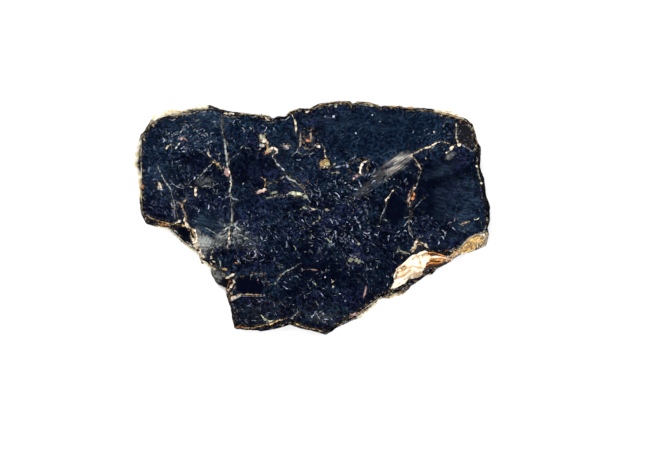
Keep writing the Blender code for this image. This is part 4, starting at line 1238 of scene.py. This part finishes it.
def mica_ground(g, busy):
    """Colour of the dark face: a fine mottle from black to navy, brighter in some clouds."""
    clouds = g.times(g.patches(3.2, 0.38, 0.64, detail=5.0, rough=0.65), g.ramp(busy, 0.0, 0.5, 0.1, 1.0))
    hue = g.patches(5.5, 0.42, 0.60, detail=2.0, seed=4)
    bright = g.mix(hue, (0.0090, 0.0225, 0.0440), (0.0130, 0.0175, 0.0540))
    navy = g.mix(clouds, (0.0014, 0.0030, 0.0115), bright)
    teal = g.mix(clouds, (0.0030, 0.0085, 0.0225), (0.0120, 0.0300, 0.0600))
    # Bluer and lighter where the teal zones paint a sheen.
    surface = g.mix(g.attribute("teal"), navy, teal)
    depth = g.mix(g.attribute("teal"), (0.0001, 0.0003, 0.0018), (0.0004, 0.0014, 0.0055))
    return g.mix(g.patches(0.7, 0.43, 0.62, detail=5.0, rough=0.8, seed=3), depth, surface)


def lifted_flakes(g, busy):
    """Where small flakes lift off the face: strokes, curls and scratches."""
    strokes = g.worms(1.5, 0.045, (1.7, 0.8, 1), -38, 21, 0.50)
    curls = g.times(g.worms(1.1, 0.060, (1, 1, 1), 0, 22, 0.40), 0.6)
    scratches = g.times(
        g.patches(0.30, 0.60, 0.72, detail=2.0, stretch=(7, 1, 1), turn=-38, seed=24),
        g.patches(2.6, 0.45, 0.6, 0.0, 0.5, seed=25))
    return g.times(
        g.math("MAXIMUM", g.math("MAXIMUM", strokes, curls), scratches),
        g.ramp(busy, 0.0, 1.0, 0.08, 0.9), g.ramp(g.attribute("shade"), 0.0, 1.0, 1.0, 0.3),
        g.patches(0.8, 0.35, 0.7, 0.15, 1.0, detail=2.0, seed=26))


def flake_colour(g):
    """Lilac, blue-grey and olive of the small lifted flakes."""
    drift = g.patches(1.7, 0.42, 0.60, detail=2.0, seed=11)
    cool = g.mix(drift, (0.085, 0.095, 0.165), (0.080, 0.120, 0.155))
    return g.mix(g.patches(2.3, 0.62, 0.70, detail=2.0, seed=12), cool, (0.170, 0.170, 0.120))


def fine_streaks(g):
    """Fine blue streaks of painted sheen across the bluer parts of the face."""
    return g.times(
        g.attribute("teal"),
        g.patches(0.25, 0.56, 0.72, 0.0, 0.6, stretch=(8, 1, 1), turn=33, seed=28),
        g.patches(3.4, 0.50, 0.62, detail=2.0, seed=29))


def brush_strokes(g):
    """Long pale strokes of the brushed patches: scratches with painted sheen."""
    return g.times(
        g.attribute("brushed"),
        g.patches(0.20, 0.38, 0.62, detail=4.0, rough=0.65, stretch=(16, 1, 1), turn=37, seed=31),
        g.patches(0.9, 0.26, 0.60, stretch=(4, 1, 1), turn=37, seed=32))


def painted_sheen_streaks(g):
    """Painted sheen: broad blue streaks where the shiny face mirrors light."""
    return g.times(
        g.attribute("sheen"),
        g.patches(0.5, 0.34, 0.74, detail=5.0, rough=0.7, stretch=(6, 1, 1), turn=-9, seed=37),
        g.patches(2.2, 0.36, 0.62, stretch=(2, 1, 1), seed=38))


def frosting(g):
    """Grainy grey of the frosted patches, which grows out from where they are strongest."""
    grain = g.math("ADD", g.attribute("frost"), g.noise(0.6, detail=5.0, rough=0.75, seed=33))
    fine = g.patches(0.3, 0.36, 0.6, 0.22, 1.12, detail=5.0, rough=0.75, seed=39)
    return g.times(g.ramp(grain, 0.72, 1.46), fine)


def broken_edge(g):
    """Where along a step the broken edge is painted pale: weathered colour and a painted highlight."""
    return g.patches(0.9, 0.52, 0.62, detail=4.0, rough=0.75, seed=41)


def edge_tint(g):
    """Cream, gold, olive and rust, patch by patch."""
    warm = g.mix(g.patches(1.3, 0.46, 0.56, detail=2.0, seed=42), (0.48, 0.40, 0.27), (0.22, 0.12, 0.04))
    return g.mix(g.patches(1.1, 0.52, 0.60, detail=2.0, seed=43), warm, (0.11, 0.10, 0.06))


def fringe(g):
    """Painted light through a flake so thin that light comes through it: yellow to near-white cream, with
    darker crumbs.
    """
    pale = g.mix(g.patches(1.3, 0.42, 0.60, seed=46), (0.74, 0.62, 0.36), (0.90, 0.87, 0.77))
    crumbs = g.patches(0.5, 0.58, 0.70, detail=4.0, rough=0.7, seed=47)
    return g.over(pale, (0.20, 0.13, 0.07), crumbs, 0.6)


def face_material():
    """The dark face, from its ground up to what lies on it."""
    g = Graph("mica_face")
    busy = g.attribute("busy")
    lifted, brushed, frost = lifted_flakes(g, busy), brush_strokes(g), frosting(g)
    base = mica_ground(g, busy)
    base = g.over(base, (0.0004, 0.0010, 0.0050), g.attribute("shade"), 0.8)
    base = g.over(base, (0.0062, 0.0068, 0.0088), g.attribute("facet"), 0.9)
    base = g.over(base, flake_colour(g), lifted)
    base = g.over(base, (0.050, 0.080, 0.130), fine_streaks(g))
    # Brushed scratches, partly painted sheen.
    base = g.over(base, (0.450, 0.420, 0.360), brushed)
    # Painted sheen.
    base = g.over(base, (0.034, 0.060, 0.098), painted_sheen_streaks(g))
    base = g.over(base, (0.255, 0.27, 0.255), frost)
    # Painted glow round the veins.
    base = g.over(base, (0.15, 0.13, 0.09), g.attribute("halo"), g.patches(0.4, 0.50, 0.72, seed=34))
    crumble = g.patches(0.7, 0.50, 0.64, detail=4.0, rough=0.7, seed=35)
    base = g.over(base, g.attribute("stain", "Color"), g.attribute("stained"), crumble)
    # Broken edges: weathered tints and painted highlight.
    base = g.over(base, edge_tint(g), g.attribute("edge"), broken_edge(g))
    # Golden rims and margin, with painted light through thin flakes.
    base = g.over(base, fringe(g), g.attribute("gold"))
    rough = g.ramp(g.math("MAXIMUM", frost, brushed), 0.0, 1.0, 0.10, 0.55)
    swells = g.noise(1.6, detail=2.0, stretch=(2, 1, 1), turn=30, seed=36)
    normal = g.bump(swells, 0.03, Normal=g.bump(lifted, 0.02))
    return g.set(Base_Color=base, Roughness=rough, Normal=normal, IOR=MICA_IOR)


def sheet_material():
    """Sheets seen edge-on: dark partings, bronze and golden broken edges."""
    g = Graph("mica_sheets")
    drift = g.noise(1.1, detail=4.0, rough=0.65, stretch=(1, 1, 0.3))
    lit = g.math("ADD", g.times(g.attribute("sheet"), 0.5), g.times(drift, 0.9))
    dark = g.mix(g.ramp(lit, 0.45, 0.75), (0.0030, 0.0040, 0.0080), (0.022, 0.016, 0.014))
    bronze = g.mix(g.ramp(lit, 0.78, 0.88), dark, (0.16, 0.080, 0.030))
    base = g.mix(g.ramp(lit, 0.86, 0.98), bronze, (0.52, 0.42, 0.27))
    # Golden rims, with painted light through thin flakes.
    base = g.over(base, fringe(g), g.attribute("gold"), 0.8)
    normal = g.bump(g.noise(0.3, stretch=(1, 1, 0.3)), 0.02)
    return g.set(Base_Color=base, Roughness=0.34, Normal=normal, IOR=MICA_IOR)


def vein_material():
    """The ribbons' own tints, a little lighter and darker from grain to grain."""
    g = Graph("broken_edges")
    tint = g.wire(
        g.node("ShaderNodeVectorMath", operation="SCALE"), "Vector",
        Vector=g.attribute("tint", "Vector"), Scale=g.patches(0.22, 0.3, 0.7, 0.55, 1.15, detail=2.0))
    normal = g.bump(g.noise(0.16, detail=2.0), 0.03)
    return g.set(Base_Color=tint, Roughness=0.6, Specular_IOR_Level=0.25, Normal=normal)


def pocket_material():
    """Cream and buff of the weathered filling with painted highlights, rusty with painted shade in its
    creases.
    """
    g = Graph("pale_weathered")
    base = g.mix(g.patches(1.8, 0.42, 0.66), (0.78, 0.67, 0.50), (0.70, 0.49, 0.26))
    # Rust-brown creases and fine crease lines, partly painted shade.
    creases = g.patches(0.8, 0.50, 0.64, detail=4.0, stretch=(2.5, 1, 1), turn=44, seed=51)
    base = g.over(base, (0.42, 0.22, 0.075), creases, 0.6)
    base = g.over(base, (0.36, 0.18, 0.06), g.worms(1.5, 0.045, (2.2, 1, 1), 44, 53, 0.62), 0.75)
    # Painted highlight: near-white patches on the swollen folds.
    crest = g.patches(2.6, 0.46, 0.58, detail=2.0, stretch=(1.6, 1, 1), turn=44, seed=54)
    base = g.over(base, (0.95, 0.90, 0.80), crest, 0.5)
    # Creases and crumbs from the relief: rust-brown, partly painted shade in the creases.
    base = g.over(base, (0.33, 0.165, 0.05), g.attribute("fold"), 0.75)
    base = g.over(base, (0.18, 0.08, 0.025), g.attribute("rim"), 0.9)
    normal = g.bump(g.noise(0.5, detail=4.0, rough=0.6), 0.12)
    return g.set(Base_Color=base, Roughness=0.55, Normal=normal)


def margin_material():
    """Fibrous gold and cream of splintered sheets, dark between the fibres."""
    g = Graph("golden_fibres")
    fibres = g.patches(0.36, 0.42, 0.58, detail=4.0, rough=0.7, stretch=(3, 1, 1), turn=38, seed=44)
    base = g.mix(fibres, (0.25, 0.110, 0.016), (0.68, 0.46, 0.15))
    dark = g.patches(0.4, 0.50, 0.57, detail=4.0, rough=0.75, stretch=(2, 1, 1), turn=38, seed=45)
    base = g.over(base, (0.045, 0.018, 0.007), dark, 0.9)
    base = g.over(base, (0.06, 0.03, 0.015), g.attribute("fold"), 0.8)
    base = g.over(base, (0.05, 0.025, 0.012), g.attribute("rim"), 0.75)
    normal = g.bump(g.noise(0.3, detail=4.0, stretch=(4, 1, 1), turn=38), 0.05)
    return g.set(Base_Color=base, Roughness=0.42, Normal=normal)


# ----- Studio


def floor():
    """The pale ground that the specimen lies on."""
    mesh = bpy.data.meshes.new("floor")
    corners = [(i * FLOOR_REACH, j * FLOOR_REACH, 0) for i, j in ((-1, -1), (1, -1), (1, 1), (-1, 1))]
    mesh.from_pydata(corners, [], [(0, 1, 2, 3)])
    mesh.materials.append(Graph("pale_floor").set(Base_Color=(0.93, 0.93, 0.93), Roughness=0.9))
    obj = new_object("floor", mesh)


def softbox(name, azimuth, power):
    """A square area light that faces the specimen."""
    light = bpy.data.lights.new(name, "AREA")
    light.shape = "SQUARE"
    light.size = LAMP_SIZE
    light.energy = power
    obj = new_object(name, light)
    a, e = math.radians(azimuth), math.radians(LAMP_ELEVATION)
    towards = Vector((math.cos(e) * math.cos(a), math.cos(e) * math.sin(a), math.sin(e)))
    obj.location = LAMP_AWAY * towards
    obj.rotation_euler = obj.location.to_track_quat("Z", "Y").to_euler()


def sky():
    """White at the horizon and dim above, which is what the glossy face mirrors to the camera."""
    world = bpy.data.worlds.new("studio")
    world.use_nodes = True
    bpy.context.scene.world = world
    nodes, links = world.node_tree.nodes, world.node_tree.links
    where = nodes.new("ShaderNodeTexCoord")
    split = nodes.new("ShaderNodeSeparateXYZ")
    links.new(where.outputs["Generated"], split.inputs["Vector"])
    fade = nodes.new("ShaderNodeValToRGB")
    links.new(split.outputs["Z"], fade.inputs["Fac"])
    links.new(fade.outputs["Color"], nodes["Background"].inputs["Color"])
    stops = fade.color_ramp.elements
    for height, _ in SKY[1:-1]:
        stops.new(height)
    for stop, (height, colour) in zip(stops, SKY):
        stop.position, stop.color = height, (*colour, 1)


def camera():
    """Straight above, with the specimen where the photograph's frame has it."""
    data = bpy.data.cameras.new("camera")
    data.lens = data.sensor_width * CAMERA_AWAY / FRAME_WIDTH
    data.clip_end = 20.0
    obj = new_object("camera", data)
    obj.location = (*FRAME_CENTRE, CAMERA_AWAY + BOOK_TOP)
    bpy.context.scene.camera = obj


def studio():
    floor()
    sky()
    for lamp in LAMPS:
        softbox(*lamp)
    camera()
    bpy.context.scene.view_settings.view_transform = "Standard"


# ----- The whole


def dress(pieces, *materials):
    """Gives pieces their materials, in the order of their slots."""
    for piece in pieces:
        for material in materials:
            piece.data.materials.append(material)


def main():
    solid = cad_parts[BOOK]
    low, high = (np.array(corner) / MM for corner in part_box(BOOK))
    half = SHEETS // 2
    lower = sheet_stack("lower_sheets", solid, range(half))
    upper = sheet_stack("upper_sheets", solid, range(half, SHEETS))
    face = cleavage_face(Surface([lower, upper]), low, high)
    surface = Surface([lower, upper, face])
    ribbons = veins(surface), swarm_flecks(surface), fan_sheets(surface)
    pocket = draped("pale_pocket", surface, POCKET, POCKET_ROUNDS, pocket_relief, POCKET_CLIFF)
    margin = draped("golden_margin", surface, FIBROUS, MARGIN_ROUNDS, fibre_relief, MARGIN_CLIFF)
    mica = face_material()
    dress([lower, upper], sheet_material(), mica)
    dress([face], mica)
    dress(ribbons, vein_material())
    dress([pocket], pocket_material())
    dress([margin], margin_material())
    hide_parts(BOOK)
    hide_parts(BOOK)
    studio()


main()
